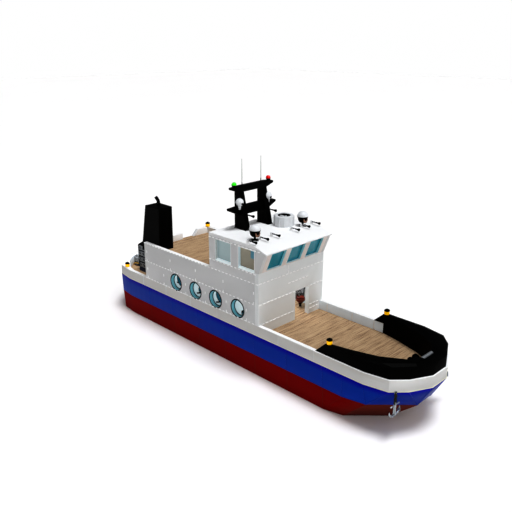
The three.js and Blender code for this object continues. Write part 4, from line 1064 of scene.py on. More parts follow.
# A lamp's cover and bowl, turned about its upright axis, with the collar between them.
cap = smooth_path(
    [
        (0.341, 0.05), (0.334, 0.12), (0.303, 0.2), (0.25, 0.27), (0.19, 0.32), (0.12, 0.35), (0.06, 0.366),
        (0, 0.37),
    ],
    4,
)
cap = np.concatenate([[(0, 0.049), (0.336, 0.049)], cap])
cap[-1, 0] = 0
bowl = smooth_path(
    [(0.298, 0.003), (0.29, -0.1), (0.27, -0.2), (0.215, -0.29), (0.15, -0.34), (0.07, -0.365)], 4
)
bowl = np.concatenate([[(0, 0.003)], bowl, [(0.062, -0.38), (0.06, -0.487), (0, -0.4897)]])
collar = [(0, 0.0), (0.33, 0.0), (0.34, 0.006), (0.341, 0.042), (0.336, 0.048), (0, 0.048)]
# Its bezel and lens, turned about the level axis that the light shines along.
bezel = [(0, 0.0), (0.19, 0.0), (0.2, 0.01), (0.2, 0.225), (0.19, 0.235), (0, 0.235)]
lens = [(0, 0.234), (0.194, 0.234), (0.194, 0.245), (0.16, 0.256), (0.08, 0.267), (0, 0.269)]
for side, way in (("starboard", -1), ("port", 1)):
    at = (LIGHT_X, way * LIGHT_Y, LIGHT_HEIGHT)
    low = (at[0], at[1], at[2] - 0.15)
    body, node = f"searchlight_{side}_body", f"searchlight_{side}"
    piece(f"{side}_lamp_cover", turned(cap, at, UP, 48), white_plastic, body, node)
    shapes = joined(
        turned(bowl[::-1], at, UP, 48), turned(bezel, low, FORE, 48), turned(collar, at, UP, 48)
    )
    piece(f"{side}_lamp_body", shapes, gloss_black, body, node)
    piece(f"{side}_lamp_lens", turned(lens, low, FORE, 48), copper, body, node)

RADAR_AT = (1.05, 1.4, ROOF)
tub = [
    (0, 0.0003), (0.6, 0.0003), (0.62, 0.012), (0.62, 0.624), (0.612, 0.642), (0.594, 0.65), (0.42, 0.65),
    (0.404, 0.642), (0.4, 0.624), (0.4, 0.3), (0, 0.3),
]
piece("radar_tub", turned(tub, RADAR_AT, UP, 64), white_plastic, replaces="radar_drum")
straps = []
for angle in (np.arange(12) + 0.5) * TAU / 12:
    out = np.array([math.cos(angle), math.sin(angle), 0])
    path = np.array(RADAR_AT) + 0.619 * out + np.outer((0.03, 0.61), UP)
    straps.append(carried(path, STRAP, out))
piece("radar_straps", joined(*straps), white_plastic)
well = [(0.385, 0.3), (0.401, 0.3), (0.401, 0.636), (0.385, 0.63)]
floor_plate = flat_ring(0.07, 0.39, 0.299, 0.306)
piece(
    "radar_well", joined(*[turned(ring, RADAR_AT, UP, 64, closed=True) for ring in (well, floor_plate)]),
    gloss_black,
)
# The scanner's bar, its height from its lower to its upper face.
BAR = (ROOF + 0.4906, ROOF + 0.5806)
scanner = joined(
    turned(
        [(0, 0.3008), (0.06, 0.3008), (0.06, 0.46), (0.085, 0.48), (0.085, 0.5), (0, 0.5)], RADAR_AT, UP
    ),
    block((0.72, 1.38), (1.345, 1.455), BAR), block((1.05, 1.105), (1.2, 1.6), BAR),
)
piece("radar_bar", scanner, white_plastic, "radar_scanner_body", "radar_scanner", edge=0.014)


# Mast

# How far each leg's middle is from the ship's, and where the aerials and the side lights stand.
LEG_Y, AERIAL_X = 0.965, -0.38
leg = [(-0.68, ROOF), (0.3, ROOF), (-0.24, 10.5), (-0.68, 10.5)]
mast_steel = [extruded(leg, 0.78, 1.15, "Y"), extruded(leg, -1.15, -0.78, "Y")]
for low_x, high_x, tip, low, tip_low, tip_high, high in (
    (-0.56, -0.15, 1.9, 9.05, 9.4, 9.52, 9.57), (-0.56, -0.2, 1.72, 10.45, 10.64, 10.76, 10.82)
):
    yard = [
        (-tip, tip_low), (-1.15, low), (1.15, low), (tip, tip_low), (tip, tip_high), (1.15, high),
        (-1.15, high), (-tip, tip_high),
    ]
    mast_steel.append(extruded(yard, low_x, high_x, "X"))
for y in (-LEG_Y, LEG_Y):
    mast_steel.append(block((-0.72, 0.34), (y - 0.235, y + 0.235), (ROOF - 0.002, ROOF + 0.022)))
piece("mast_plating", joined(*mast_steel), gloss_black, replaces="mast", edge=0.014)

AERIAL_FOOT = [(0, 0), (0.05, 0), (0.05, 0.02), (0.032, 0.03), (0.026, 0.16), (0.02, 0.18), (0, 0.18)]
DOME = 0.24
lift = np.linspace(-TAU / 4, TAU / 4, 25)
globe = DOME * np.stack([np.cos(lift), np.sin(lift)], -1)
globe[[0, -1], 0] = 0
dome_band = [(0.236, -0.03), (0.248, -0.02), (0.248, 0.02), (0.236, 0.03)]
eye = [(0, 0.2), (0.07, 0.2), (0.07, 0.242), (0, 0.247)]
mast_fittings, camera_domes, camera_eyes, aerials = [], [], [], []
for way in (-1, 1):
    mast_fittings += horn(0.0, way * LEG_Y, 9.12, 0.78)
    aerials.append(rod((AERIAL_X, way * 0.8, 10.8), (AERIAL_X, way * 0.8, 12.4), 0.017, 0.009, 12))
    mast_fittings.append(turned(AERIAL_FOOT, (AERIAL_X, way * 0.8, 10.815), UP, 20))
    y = way * 1.22
    at = (-0.15, y, 9.88)
    arm = [(-0.2, y, 9.44), (-0.165, y, 9.6), (-0.15, y, 9.7)]
    camera_domes.append(carried(smooth_path(arm, 4), circle(0.1, 20), OUT))
    camera_domes.append(turned(globe, at, UP, 40))
    camera_domes.append(turned(dome_band, at, UP, 40, closed=True))
    camera_eyes.append(turned(eye, (at[0], y, 9.82), FORE, 24))
piece("mast_horns", joined(*mast_fittings), gloss_black, replaces="mast")
piece("mast_cameras", joined(*camera_domes), white_plastic, replaces="mast")
piece("camera_eyes", joined(*camera_eyes), gloss_black)
piece("mast_aerials", joined(*aerials), gloss_black, replaces="mast")

# A ribbed lens: the radius of a ball, rippled by 2 mm ten times from its foot to its crown.
BALL = 0.149
lift = np.linspace(-1.2, TAU / 4, 61)
ripple = BALL - 0.001 * np.cos(lift * 22)
ripple[-1] = BALL
globe = np.concatenate([[(0, -0.139)], np.stack([ripple * np.cos(lift), ripple * np.sin(lift)], -1)])
globe[-1, 0] = 0
cup = [
    (0, -0.2), (0.075, -0.2), (0.08, -0.185), (0.06, -0.16), (0.1, -0.13), (0.138, -0.088), (0.152, -0.03),
    (0.146, -0.026), (0.13, -0.07), (0, -0.12),
]
for side, way, tint, slot in (("starboard", -1, green, "green_lens"), ("port", 1, signal_red, "red_lens")):
    at, node = (AERIAL_X, way * 1.45, 10.94), f"sidelight_{side}"
    piece(f"{side}_light_globe", turned(globe, at, UP, 40), tint, replaces=node)
    piece(f"{side}_light_cup", turned(cup, at, UP, 40), gloss_black, replaces=node)


# Funnel

FUNNEL_OUT, FUNNEL_IN = -2.6247, -1.4
LOW = np.array([(-8.6, FUNNEL_OUT), (-6.65, FUNNEL_OUT), (-6.65, FUNNEL_IN), (-8.6, FUNNEL_IN)])
HIGH = np.array([(-8.03, -2.58), (-6.48, -2.58), (-6.48, -1.5), (-8.03, -1.5)])
knee = [(-8.0003, 4.9), (-8.0003, 5.51), (-8.6, 5.51), (-8.6, 5.38)]
piece(
    "funnel_knee", extruded(knee, FUNNEL_OUT, FUNNEL_IN, "Y"), gloss_black,
    replaces="funnel", edge=0.012,
)
piece(
    "funnel_casing", skin([at_height(LOW, UPPER_DECK + 0.0003), at_height(HIGH, 8.5)]), gloss_black,
    replaces="funnel", edge=0.03, steps=3,
)
exhaust_path = smooth_path(
    [
        (-7.46, -1.88, 8.46), (-7.46, -1.88, 8.66), (-7.475, -1.884, 8.79), (-7.55, -1.905, 8.9),
        (-7.66, -1.93, 9.02),
    ],
    5,
)
piece(
    "exhaust_pipe",
    joined(
        pipe(exhaust_path, 0.11, 0.098, OUT),
        turned(flat_ring(0.11, 0.165, 0, 0.022), (-7.46, -1.88, 8.498), UP, closed=True),
        turned(flat_ring(0.1, 0.125, 0, 0.03), (-7.46, -1.88, 8.6), UP, closed=True),
    ),
    gloss_black, replaces="funnel",
)


# Vent stack

VX, VY = (-10.9, -10.05), (-1.45, -0.75)
foot = DECK + 0.0003
# Three units and a head under the lid stand one above the other, each as high as the gap under the first.
UNIT, UNIT_PITCH = 0.33, 0.44
lows = [foot + UNIT + k * UNIT_PITCH for k in range(4)]
last = lows[-1]
units = [block(VX, VY, (low, low + UNIT)) for low in lows]
piece("vent_units", joined(*units), slate, replaces="vent_stack", edge=0.018, steps=3)
core = block((VX[0] + 0.05, VX[1] - 0.05), (VY[0] + 0.05, VY[1] - 0.05), (foot, last + 0.02))
corner_posts = [
    block((x, x + 0.09), (VY[0] - 0.006, VY[0] + 0.05), (foot + 0.31, last + 0.34))
    for x in (VX[0] - 0.004, VX[1] - 0.05)
]
piece("vent_corner_posts", joined(*corner_posts), gloss_black)
lid = [(VX[0], last + 0.36), (VX[1], last + 0.36), (VX[1], last + 0.9), (VX[0], last + 0.39)]
piece("vent_joints", core, gloss_black, replaces="vent_stack")
piece("vent_lid", extruded(lid, *VY, "Y"), gloss_black, replaces="vent_stack", edge=0.016)
piece(
    "vent_base", block(VX, VY, (foot, foot + 0.305)), navy, replaces="vent_stack", edge=0.018
)
fans, fan_eyes = [], []
for low in lows:
    for x in (-10.68, -10.27):
        at = (x, VY[0] + 0.002, low + (0.18 if low == last else 0.2))
        fans.append(turned([(0.118, 0), (0.15, 0), (0.15, 0.018), (0.118, 0.022)], at, OUT, closed=True))
        for r in (0.05, 0.085):
            fans.append(turned(flat_ring(r, r + 0.008, 0, 0.012), at, OUT, closed=True))
        fan_eyes.append(turned(flat_ring(0, 0.12, -0.004, 0.004), at, OUT))
piece("vent_fan_guards", joined(*fans), slate, edge=0.002)
piece("vent_fan_wells", joined(*fan_eyes), gloss_black)


# Winches

# The stand's outer and inner faces on either side, and its foot from aft to fore.
STAND_OUT, STAND_IN, STAND_X = -1.008, -0.908, (-12.29, -11.61)
winch_foot = block(STAND_X, (STAND_OUT, -STAND_OUT), (foot, foot + 0.09))
cheeks = [(STAND_X[0], foot), (STAND_X[1], foot), (-11.645, 3.08), (-12.255, 3.08)]
housings = [(-12.255, 3.08), (-11.645, 3.08), (-11.67, 3.4), (-12.23, 3.4)]
piece(
    "aft_winch_bed", joined(winch_foot, mirrored(extruded(cheeks, STAND_OUT, STAND_IN, "Y"))), navy,
    replaces="aft_winch_stand", edge=0.012,
)
piece(
    "aft_winch_housings", mirrored(extruded(housings, STAND_OUT, STAND_IN, "Y")), slate,
    replaces="aft_winch_stand", edge=0.02, steps=3,
)
gear_at = (-11.95, -1.0075, 3.12)
gear_case = mirrored(
    turned(flat_ring(0.225, 0.275, 0, 0.012), gear_at, OUT, 48, closed=True),
    turned([(0, 0), (0.07, 0), (0.06, 0.02), (0, 0.02)], gear_at, OUT, 48),
)
piece("aft_winch_gear_cases", gear_case, grey, edge=0.003)
guard = smooth_path(
    [(-12.28, -1.0, 2.84), (-12.26, -1.06, 2.85), (-12.12, -1.08, 2.9), (-11.95, -1.08, 2.98)], 5
)
rail_end = smooth_path(
    [(-11.95, -1.08, 2.98), (-11.8, -1.08, 3.0), (-11.66, -1.06, 3.01), (-11.64, -1.0, 3.01)], 5
)
piece(
    "aft_winch_guard_rail", carried(np.concatenate([guard, rail_end[1:]]), circle(0.032, 14), UP), yellow,
)
plated("windlass_stand", "windlass_cheeks", gloss_black)


def wound_drum(name, x, z, radius, flange_radius, half, finish, line, line_radius, reach):
    """A flanged drum and the line wound on it: the line's radius ripples once for each turn of line. Its
    axle lies across the ship at (x, z), and reaches past half the drum's length into its bearings or up to
    them. The finishes are the flanges' and the line's."""
    at = (x, 0, z)
    sides = ((-half, -half + 0.04), (half - 0.04, half))
    rims = [
        turned(
            [
                (0, a), (flange_radius - 0.01, a), (flange_radius, a + 0.01), (flange_radius, b - 0.01),
                (flange_radius - 0.01, b), (0, b),
            ],
            at, ACROSS, 48,
        )
        for a, b in sides
    ]
    pins = rod((x, -half - reach, z), (x, half + reach, z), 0.05, sides=24)
    bosses = [turned(flat_ring(0, 0.1, s * half, s * (half + 0.006)), at, ACROSS, 24) for s in (-1, 1)]
    body, node = name + "_drum_body", name + "_drum"
    piece(name + "_drum_flanges", joined(*rims), finish, body, node)
    piece(name + "_axle", joined(pins, *bosses), steel, body, node)
    turns = int((2 * half - 0.09) / (2 * line_radius))
    y = np.linspace(-half + 0.045, half - 0.045, turns * 8 + 1)
    phase = (y - y[0]) / (y[-1] - y[0]) * turns
    ripple = radius - line_radius + line_radius * np.abs(np.sin(phase * TAU / 2)) ** 0.6
    profile = np.concatenate([[(0, y[0])], np.stack([ripple, y], -1), [(0, y[-1])]])
    piece(name + "_wound_line", turned(profile, at, ACROSS, 48), line, body, node)


wound_drum("aft_winch", -11.95, 3.29, 0.23, 0.32, 0.9, grey, slate, 0.018, 0.0075)
wound_drum("windlass", 11.6, 3.39, 0.18, 0.26, 0.25, gloss_black, gloss_black, 0.02, 0.03)


# Deck lights

LAMP_FOOT = [(0, 0), (0.15, 0), (0.155, 0.006), (0.155, 0.02), (0.148, 0.026), (0, 0.026)]
LAMP_LID = [
    (0, 0.222), (0.158, 0.222), (0.164, 0.23), (0.162, 0.25), (0.15, 0.29), (0.1, 0.302), (0.088, 0.33),
    (0.07, 0.34), (0, 0.34),
]
# The lens has 24 upright flutes: its radius ripples by 2 mm round the circle.
around = np.arange(96) / 96 * TAU
flutes = 0.002 * np.cos(around * 24)
fluted_lens = skin(
    [
        np.stack([(r - flutes) * np.cos(around), (r - flutes) * np.sin(around), np.full(96, h)], -1)
        for r, h in ((0.146, 0.02), (0.153, 0.035), (0.153, 0.21), (0.147, 0.227))
    ]
)
lamps, lamp_black = [], []
for x, y, z in (
    (8.12, -2.64, BOW_CAP), (8.12, 2.64, BOW_CAP), (-10.75, -2.57, CAP), (-10.75, 2.57, CAP),
    (-7.82, 2.71, UPPER_CAP),
):
    at = (x, y, z + 0.0003)
    lamps.append(placed(fluted_lens, at))
    lamp_black += [turned(profile, at, UP) for profile in (LAMP_FOOT, LAMP_LID)]
BEACONS = [
    f"beacon_{where}"
    for where in ("bow_starboard", "bow_port", "stern_starboard", "stern_port", "upper_port")
]
piece("deck_light_lenses", joined(*lamps), amber, replaces=BEACONS)
piece("deck_light_frames", joined(*lamp_black), gloss_black, replaces=BEACONS)


# Anchors

ANCHOR_ANGLE = math.atan2(0.7, 0.73)
ANCHOR_AT = (12.095 + 0.055 * math.cos(ANCHOR_ANGLE), 2.3445 + 0.055 * math.sin(ANCHOR_ANGLE), 0)


def link(z, height, width, bar, turn):
    """A chain link: a round bar carried along two straights and two half circles, turned about the chain."""
    reach = height / 2 - width / 2
    angle = np.linspace(0, TAU / 2, 9)
    top = np.stack([width / 2 * np.cos(angle), reach + width / 2 * np.sin(angle)], -1)
    loop = np.concatenate([top, -top])
    path = np.stack([np.zeros(len(loop)), loop[:, 0], loop[:, 1] + z], -1)
    return placed(carried(path, circle(bar, 10), FORE, closed=True), turn=turn)


pad_eye = placed(
    joined(
        block((-0.0545, -0.03), (-0.065, 0.065), (2.63, 2.78)), rod((-0.04, 0, 2.7), (0.0, 0, 2.7), 0.03)
    ),
    turn=ANCHOR_ANGLE,
)
# Four links, each a quarter turn from the one before, and the anchor's shackle.
chain_parts = [link(2.655 - k * 0.11, 0.18, 0.13, 0.026, k % 2 * TAU / 4) for k in range(4)]
chain_parts.append(link(2.2, 0.22, 0.18, 0.034, 0.0))
SHANK = np.array([(-0.045, -0.05), (0.045, -0.05), (0.045, 0.05), (-0.045, 0.05)])
anchor_parts = [
    pad_eye,
    carried([(0, 0, 2.17), (0, 0, 2.0), (0, 0, 1.7), (0, 0, 1.45)], SHANK, FORE, size=[0.8, 1, 1.1, 1.3]),
    rod((0, -0.33, 2.03), (0, 0.33, 2.03), 0.028, sides=18),
]
knob = [(0, -0.05), (0.035, -0.035), (0.05, 0), (0.035, 0.035), (0, 0.05)]
fluke = np.array(
    [(-0.012, -0.085), (-0.03, 0.0), (-0.012, 0.085), (0.012, 0.085), (0.03, 0.0), (0.012, -0.085)]
)
for way in (-1, 1):
    anchor_parts.append(turned(knob, (0, way * 0.33, 2.03), ACROSS, 18))
    arm = smooth_path(
        [
            (0, 0, 1.46), (0, way * 0.2, 1.47), (0, way * 0.37, 1.55), (0, way * 0.44, 1.68),
            (0, way * 0.46, 1.79),
        ],
        5,
    )
    anchor_parts.append(carried(arm, circle(0.05, 14), FORE, size=np.linspace(1.2, 0.5, len(arm))))
    palm = smooth_path([(0, way * 0.36, 1.56), (0, way * 0.43, 1.66), (0, way * 0.46, 1.81)], 5)
    anchor_parts.append(carried(palm, fluke, FORE, size=np.linspace(1.2, 0.15, len(palm))))
for side in ("starboard", "port"):
    for name, parts, finish in (("anchor", anchor_parts, zinc), ("anchor_chain", chain_parts, tarred)):
        shape = placed(placed(joined(*parts), ANCHOR_AT), mirror=side == "starboard")
        piece(f"{side}_{name}", shape, finish, replaces=f"anchor_{side}", edge=0.004)


# Helm

SEAT_AT, SEAT_TURN = (2.02, 2.02, 0), -TAU / 8


def seat_part(shape):
    """A shape of the seat, made about its own axis, turned as the seat is and moved to its place."""
    return placed(shape, SEAT_AT, SEAT_TURN)


plinth = [(0, foot), (0.26, foot), (0.26, foot + 0.02), (0.24, foot + 0.035), (0, foot + 0.035)]
piece(
    "seat_plinth", seat_part(turned(plinth, (0, 0, 0), UP, 40)), planks, replaces="helm_seat"
)
pedestal = joined(
    turned(
        [(0, foot + 0.034), (0.085, foot + 0.034), (0.065, foot + 0.06), (0.065, 3.03), (0, 3.03)],
        (0, 0, 0), UP, 40,
    ),
    turned(flat_ring(0, 0.11, 2.98, 3.06), (0, 0, 0), UP),
)
piece("seat_pedestal", seat_part(pedestal), gloss_black, replaces="helm_seat")


def rounded_ring(deep, wide, z, radius):
    """A rectangle with round corners, level at one height, from its half depth and half width."""
    return np.insert(ring_path(-deep, deep, -wide, wide, radius), 2, z, 1)


shell = skin(
    [
        rounded_ring(0.09, 0.09, 3.03, 0.03), rounded_ring(0.2, 0.23, 3.2, 0.06),
        rounded_ring(0.26, 0.3, 3.3, 0.08), rounded_ring(0.26, 0.3, 3.36, 0.08),
        rounded_ring(0.24, 0.28, 3.37, 0.06),
    ]
)
back_shell = skin(
    [
        np.stack([ring[:, 0], ring[:, 1] * s, np.full(len(ring), z)], -1)
        for ring in [ring_path(-0.3, -0.266, -0.28, 0.28, 0.015)] for s, z in (
            (0.9, 3.3), (1, 3.42), (1, 4.05), (0.92, 4.2), (0.8, 4.25)
        )
    ]
)
piece("seat_pan", seat_part(shell), hide, replaces="helm_seat", edge=0.006)
piece(
    "seat_back_shell", seat_part(back_shell), shell_grey, replaces="helm_seat", edge=0.006
)
arms = joined(
    *[block((-0.26, 0.14), (way * 0.315 - 0.024, way * 0.315 + 0.024), (3.73, 3.79)) for way in (-1, 1)],
    *[
        block((x - 0.02, x + 0.02), (way * 0.315 - 0.02, way * 0.315 + 0.02), (3.34, 3.74))
        for way in (-1, 1) for x in (-0.2, 0.1)
    ],
)
piece("seat_arms", seat_part(arms), grey_hide, replaces="helm_seat", edge=0.012)


def cushion_cover(deep, wide, thick):
    """A pad's cover before it is filled, on a grid round it, lying on its back: rings from its lower face to
    its upper face, each a rounded rectangle, the superellipse |x / deep|^6 + |y / wide|^6 = 1, drawn in
    towards both faces as (1 - |t|^7)^0.4."""
    angle = np.arange(120) / 120 * TAU
    reach = (np.abs(np.cos(angle) / deep) ** 6 + np.abs(np.sin(angle) / wide) ** 6) ** (-1 / 6)
    t = np.linspace(-1, 1, 25)
    radius = np.maximum((1 - np.abs(t) ** 7) ** 0.4, 0.02)[:, None] * reach
    height = np.broadcast_to(((t + 1) * thick / 2)[:, None], radius.shape)
    return skin(np.stack([radius * np.cos(angle), radius * np.sin(angle), height], -1))


def filled(cover, swell):
    """The cover blown up by its filling: it is remeshed at 6 mm and run as cloth under pressure for 20
    frames, with its lowest 12 mm held still, and no point moves further than the swell."""
    points, faces = cover
    mesh = bpy.data.meshes.new("cover")
    mesh.from_pydata(points.tolist(), [], faces)
    bag = bpy.data.objects.new("cover", mesh)
    bpy.context.scene.collection.objects.link(bag)
    weave = bag.modifiers.new("remesh", "REMESH")
    weave.mode = "VOXEL"
    weave.voxel_size = 0.006
    graph = bpy.context.evaluated_depsgraph_get()
    bag.data = bpy.data.meshes.new_from_object(bag.evaluated_get(graph))
    bag.modifiers.clear()
    count = len(bag.data.vertices)
    before = np.empty(count * 3)
    bag.data.vertices.foreach_get("co", before)
    before = before.reshape(-1, 3)
    held = bag.vertex_groups.new(name="resting_face")
    held.add(np.flatnonzero(before[:, 2] < 0.012).tolist(), 1.0, "REPLACE")
    cloth = bag.modifiers.new("filling", "CLOTH")
    cloth.settings.use_pressure = True
    cloth.settings.uniform_pressure_force = 4.0
    cloth.settings.effector_weights.gravity = 0.0
    cloth.settings.vertex_group_mass = "resting_face"
    cloth.settings.pin_stiffness = 1.0
    for step in range(1, 21):
        bpy.context.scene.frame_set(step)
    graph = bpy.context.evaluated_depsgraph_get()
    blown = bag.evaluated_get(graph).data
    after = np.empty(count * 3)
    blown.vertices.foreach_get("co", after)
    moved = after.reshape(-1, 3) - before
    far = np.linalg.norm(moved, axis=1, keepdims=True)
    moved *= np.minimum(1.0, swell / np.maximum(far, 1e-9))
    corners = np.empty(len(bag.data.loops), int)
    bag.data.loops.foreach_get("vertex_index", corners)
    sides = np.split(corners, np.cumsum([len(face.vertices) for face in bag.data.polygons])[:-1])
    bpy.context.scene.frame_set(1)
    bpy.data.objects.remove(bag)
    return before + moved, [side.tolist() for side in sides]


def sewn(pad, channels, deep, wide):
    """A filled pad with its sewn channels and its welts. A channel draws the upper face down by 9 mm in a
    narrow valley, exp(-(across / 10 mm)^2), across the pad. A welt is a cord round the pad's edge at one
    height, at the furthest reach of the cover in each direction."""
    points, faces = pad
    top = points[:, 2].max()
    upper = np.clip((points[:, 2] - top * 0.5) / (top * 0.3), 0, 1)
    for across in channels:
        points[:, 2] -= 0.009 * upper * np.exp(-(((points[:, 0] - across) / 0.01) ** 2))
    welts = []
    for height in (0.22 * top, 0.74 * top):
        near = points[np.abs(points[:, 2] - height) < 0.006]
        turn = np.arctan2(near[:, 1] / wide, near[:, 0] / deep)
        reach = np.hypot(near[:, 0] / deep, near[:, 1] / wide)
        way = np.linspace(-TAU / 2, TAU / 2, 73)[:-1]
        furthest = np.array([reach[np.abs((turn - a + TAU / 2) % TAU - TAU / 2) < 0.09].max() for a in way])
        furthest = (np.roll(furthest, 1) + 2 * furthest + np.roll(furthest, -1)) / 4
        path = np.stack(
            [deep * furthest * np.cos(way), wide * furthest * np.sin(way), np.full(72, height)], -1
        )
        out = np.stack([np.cos(way), np.sin(way), np.zeros(72)], -1)
        welts.append(carried(path, circle(0.006, 10), out, closed=True))
    return (points, faces), joined(*welts)


def pad(name, size, thick, swell, channels, finish, stand):
    """One padded piece of the seat: its filled and sewn cover, and its welts."""
    cover = cushion_cover(*size, thick)
    shape = filled(cover, swell)
    shape, welts = sewn(shape, channels, *size)
    soft = piece(name, seat_part(stand(shape)), finish, replaces="helm_seat", sharp=180.0)
    smooth = soft.modifiers.new("smooth", "SUBSURF")
    smooth.levels = smooth.render_levels = 1
    piece(
        name + "_welts", seat_part(stand(welts)), rubber, replaces="helm_seat", sharp=180.0
    )


def lying(shape):
    """On the seat's pan."""
    return placed(shape, (0, 0, 3.373))


def standing(shape):
    """Against the seat's back, its face forward and its middle 3.86 m up."""
    return placed(placed(shape, turn=TAU / 4, about="Y"), (-0.264, 0, 3.86))


for name, size, thick, swell, channels, cloth, stand in (
    ("seat_cushion", (0.23, 0.265), 0.085, 0.016, (-0.07, 0.07), hide, lying),
    ("seat_back_cushion", (0.28, 0.235), 0.045, 0.01, (-0.09, 0.09), grey_hide, standing),
):
    pad(name, size, thick, swell, channels, cloth, stand)

console = joined(
    block((2.3, 2.65), (0.3, 0.72), (foot, 4.5)),
    extruded([(2.3, 4.5), (2.65, 4.5), (2.65, 4.52), (2.42, 4.62), (2.3, 4.62)], 0.3, 0.72, "Y"),
)
piece("console_casing", console, grey, replaces="helm_console", edge=0.012)
console_arm = smooth_path([(2.55, 0.7, 4.56), (2.49, 1.1, 4.2), (2.43, 1.42, 3.86), (2.42, 1.5, 3.76)], 6)
piece(
    "console_arm",
    joined(
        carried(console_arm, circle(0.03, 16), FORE), rod((2.42, 1.5, 3.74), (2.42, 1.5, 3.94), 0.014),
        rod((2.405, 1.5, 3.94), (2.445, 1.5, 3.94), 0.03, sides=20),
    ),
    shell_grey, replaces="helm_console",
)
WHEEL_AT = (2.36, 1.5, 3.94)
HUB = [(0, -0.03), (0.02, -0.03), (0.03, -0.015), (0.03, 0.03), (0.02, 0.0447), (0, 0.0447)]
rim_path = np.insert(circle(0.185, 48), 0, 0, 1) + WHEEL_AT
wheel_parts = [carried(rim_path, circle(0.022), FORE, closed=True), turned(HUB, WHEEL_AT, FORE, 24)]
for tip in np.insert(circle(0.18, 4), 0, 0, 1) + WHEEL_AT:
    wheel_parts.append(rod(WHEEL_AT, tip, 0.007, 0.006, 10))
piece("steering_wheel", joined(*wheel_parts), gloss_black, "helm_wheel_body", "helm_wheel")


# Doors

# The casing of the front doorway, within the wall: two jambs and a head.
WALL, HEAD = (HOUSE_FORE - 0.297, HOUSE_FORE - 0.003), (4.661, 4.6667)
casing = [block(WALL, ys, (foot, HEAD[0])) for ys in ((0.2873, 0.293), (1.563, 1.5687))]
casing.append(block(WALL, (0.2935, 1.5625), HEAD))
piece("doorway_casing", joined(*casing), casing_painted_light)
plated("front_door", "sliding_door_leaf", white, 0.006, "front_door_body")
plated("aft_door", "aft_door_leaf", white, 0.004, "aft_door_body")
plated("wheelhouse_door", "wheelhouse_door_leaf", white, 0.004, "wheelhouse_door_body")
# Columns: the wall's face, the opening's starboard edge and its sill. Each is 0.85 m wide and 1.9 m high.
for name, x, y0, sill in (("aft", HOUSE_AFT, -1.3, 2.86), ("wheelhouse", WHEELHOUSE_AFT, -0.425, 5.6)):
    around_door = ring_path(y0 - 0.025, y0 + 0.875, sill - 0.025, sill + 1.925, 0.04)
    frame_path = np.insert(around_door, 0, x, 1)
    piece(name + "_door_frame", carried(frame_path, FRAME_BAR, AFT, closed=True), white)
    light_ring = ring_path(y0 + 0.225, y0 + 0.625, sill + 1.15, sill + 1.65, 0.08, 7)
    rim_of_light = np.insert(light_ring, 0, x + 0.03, 1)
    body = name + "_door_body"
    piece(
        name + "_door_light_rim", carried(rim_of_light, FRAME_BAR, AFT, closed=True), gloss_black,
        body,
    )
    pane = extruded(light_ring, x + 0.0255, x + 0.034, "X")
    piece(name + "_door_light", pane, screen_glass, body)


# Propeller and rudder


def blade(turn):
    """One blade, a stack of foil sections from hub to tip: each has its own chord, and lies on the pitch
    helix, at an angle whose tangent is pitch over circumference."""
    rings = []
    s = np.linspace(0, TAU, 28, endpoint=False)
    pitch = 0.75
    for t in np.linspace(0, 1, 14):
        r = 0.09 + 0.4 * t
        chord = 0.27 * math.sqrt(max(0.0, math.sin(math.pi * (0.2 + 0.78 * t) ** 1.1))) + 0.03
        thick = 0.034 * (1 - t) ** 0.8 + 0.008
        across = np.cos(s) * chord / 2 + 0.05 * t * t
        through = np.sin(s) * thick / 2
        angle = math.atan2(pitch, TAU * r)
        ahead = across * math.sin(angle) + through * math.cos(angle)
        sweep = (across * math.cos(angle) - through * math.sin(angle)) / r
        rings.append(np.stack([ahead, r * np.sin(sweep + turn), r * np.cos(sweep + turn)], -1))
    return skin(rings)


PROP_AT = np.array([-11.6, 0, 0.64])
hub_run = np.linspace(0, TAU / 4, 7)
hub = np.concatenate(
    [
        [(0, -0.17)], np.stack([0.11 * np.sin(hub_run[1:]), -0.06 - 0.11 * np.cos(hub_run[1:])], -1),
        [(0.11, 0.12), (0.1, 0.13), (0, 0.13)],
    ]
)
screw = placed(joined(*[blade(k * TAU / 4) for k in range(4)]), PROP_AT)
piece(
    "bronze_propeller",
    joined(screw, turned(hub, PROP_AT, FORE, 40), rod(PROP_AT, PROP_AT + (0.93, 0, 0), 0.06, sides=32)),
    bronze, "propeller_body", "propeller", sharp=50.0,
)
chord = np.concatenate([np.linspace(1, 0, 22) ** 1.6, np.linspace(0, 1, 22)[1:-1] ** 1.6])
thickness = 0.6 * (
    0.2969 * np.sqrt(chord) - 0.126 * chord - 0.3516 * chord**2 + 0.2843 * chord**3 - 0.1015 * chord**4
)
sign = np.concatenate([np.ones(22), -np.ones(20)])
foil = np.stack([0.22 - 0.65 * chord, sign * (thickness * 0.65 * 0.23 / 0.2 + 0.003)], -1)
rudder_rings = [
    at_height(foil * (s, s) + (-12.3, 0), z)
    for s, z in ((0.96, 0.13), (1, 0.145), (1, 1.175), (0.96, 1.19))
]
piece(
    "rudder_blade", joined(skin(rudder_rings), rod((-12.3, 0, 1.0), (-12.3, 0, 1.2497), 0.05, sides=28)),
    bronze, "rudder_body", "rudder",
)


# Studio

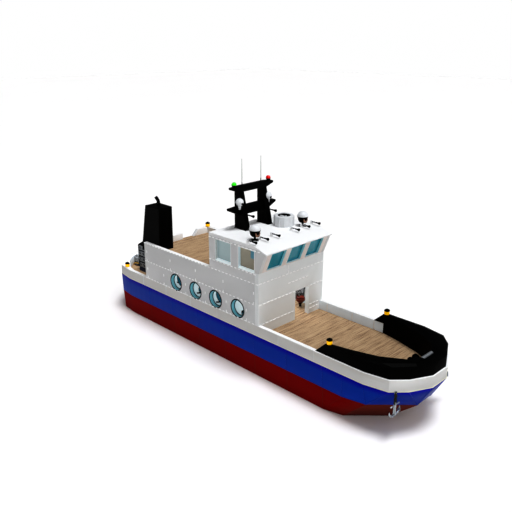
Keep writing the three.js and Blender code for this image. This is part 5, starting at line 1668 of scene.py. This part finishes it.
floor_finish, floor_tree, floor_place = new_finish("pale_studio_floor")
wash = add(floor_tree, "TexNoise", {"Vector": floor_place, "Scale": 0.05})
wash_tone = add(floor_tree, "Mix", {0: wash, 6: "#fcfaf8", 7: "#faf8f6"}, data_type="RGBA")
close_finish(floor_tree, {"Base Color": wash_tone, "Roughness": 0.9})
FLOOR = 300
floor_mesh = bpy.data.meshes.new("studio_floor")
floor_mesh.from_pydata(
    [(-FLOOR, -FLOOR, 0), (FLOOR, -FLOOR, 0), (FLOOR, FLOOR, 0), (-FLOOR, FLOOR, 0)], [], [(0, 1, 2, 3)]
)
floor_mesh.materials.append(floor_finish)
studio_floor = bpy.data.objects.new("studio_floor", floor_mesh)
bpy.context.scene.collection.objects.link(studio_floor)


def sun(name, toward, strength, spread, shadow=True):
    """A sun lamp: the direction it shines from, its strength, and the angle it spreads over. One without a
    shadow stands for the light that a white room throws back from all round."""
    data = bpy.data.lights.new(name, "SUN")
    data.energy = strength
    data.angle = math.radians(spread)
    data.color = (0.965, 0.98, 1.0)
    data.use_shadow = shadow
    lamp = bpy.data.objects.new(name, data)
    lamp.rotation_euler = Vector(toward).to_track_quat("Z", "Y").to_euler()
    bpy.context.scene.collection.objects.link(lamp)


sun("key_light", (0.18, 0.03, 0.98), 2.3, 20)
sun("fill_light", (0.625, 0.02, 0.78), 1.345, 60, shadow=False)


def lamp_looking_down(name, at, power, size):
    """A round lamp looking down. One under a deckhead lets what stands inside show through doors and glass.
    One over a deck brings back the light that the deckhouse and the funnel keep from it."""
    data = bpy.data.lights.new(name, "AREA")
    data.shape = "DISK"
    data.size = size
    data.energy = power
    lamp = bpy.data.objects.new(name, data)
    lamp.location = at
    bpy.context.scene.collection.objects.link(lamp)


lamp_looking_down("deckhouse_light", (1.3, 1.3, 5.2), 90, 1.5)
lamp_looking_down("wheelhouse_light", (0.9, 0, 7.9), 60, 1.5)
lamp_looking_down("aft_deck_light", (-11.4, -1.2, 6.2), 40, 2.5)
lamp_looking_down("upper_deck_light", (-4.2, 0, 9.5), 45, 4)
# The room's light is dim overhead and white all round at the floor's far edge, where the floor meets it.
world = bpy.data.worlds.new("pale_studio")
bpy.context.scene.world = world
world.use_nodes = True
sky = world.node_tree
height = add(sky, "SeparateXYZ", {"Vector": add(sky, "TexCoord").outputs["Generated"]})
level = add(sky, "MapRange", {0: height.outputs["Z"], 1: 0.056, 2: 0.08, 3: 1.0, 4: 0.07})
# The camera itself sees the same white all over, the floor's own.
either = add(sky, "Mix", {0: add(sky, "LightPath").outputs["Is Camera Ray"], 2: level, 3: 1.0})
sky.nodes["Background"].inputs["Color"].default_value = linear("#ffffff")
sky.links.new(either.outputs[0], sky.nodes["Background"].inputs["Strength"])

bpy.context.view_layer.update()
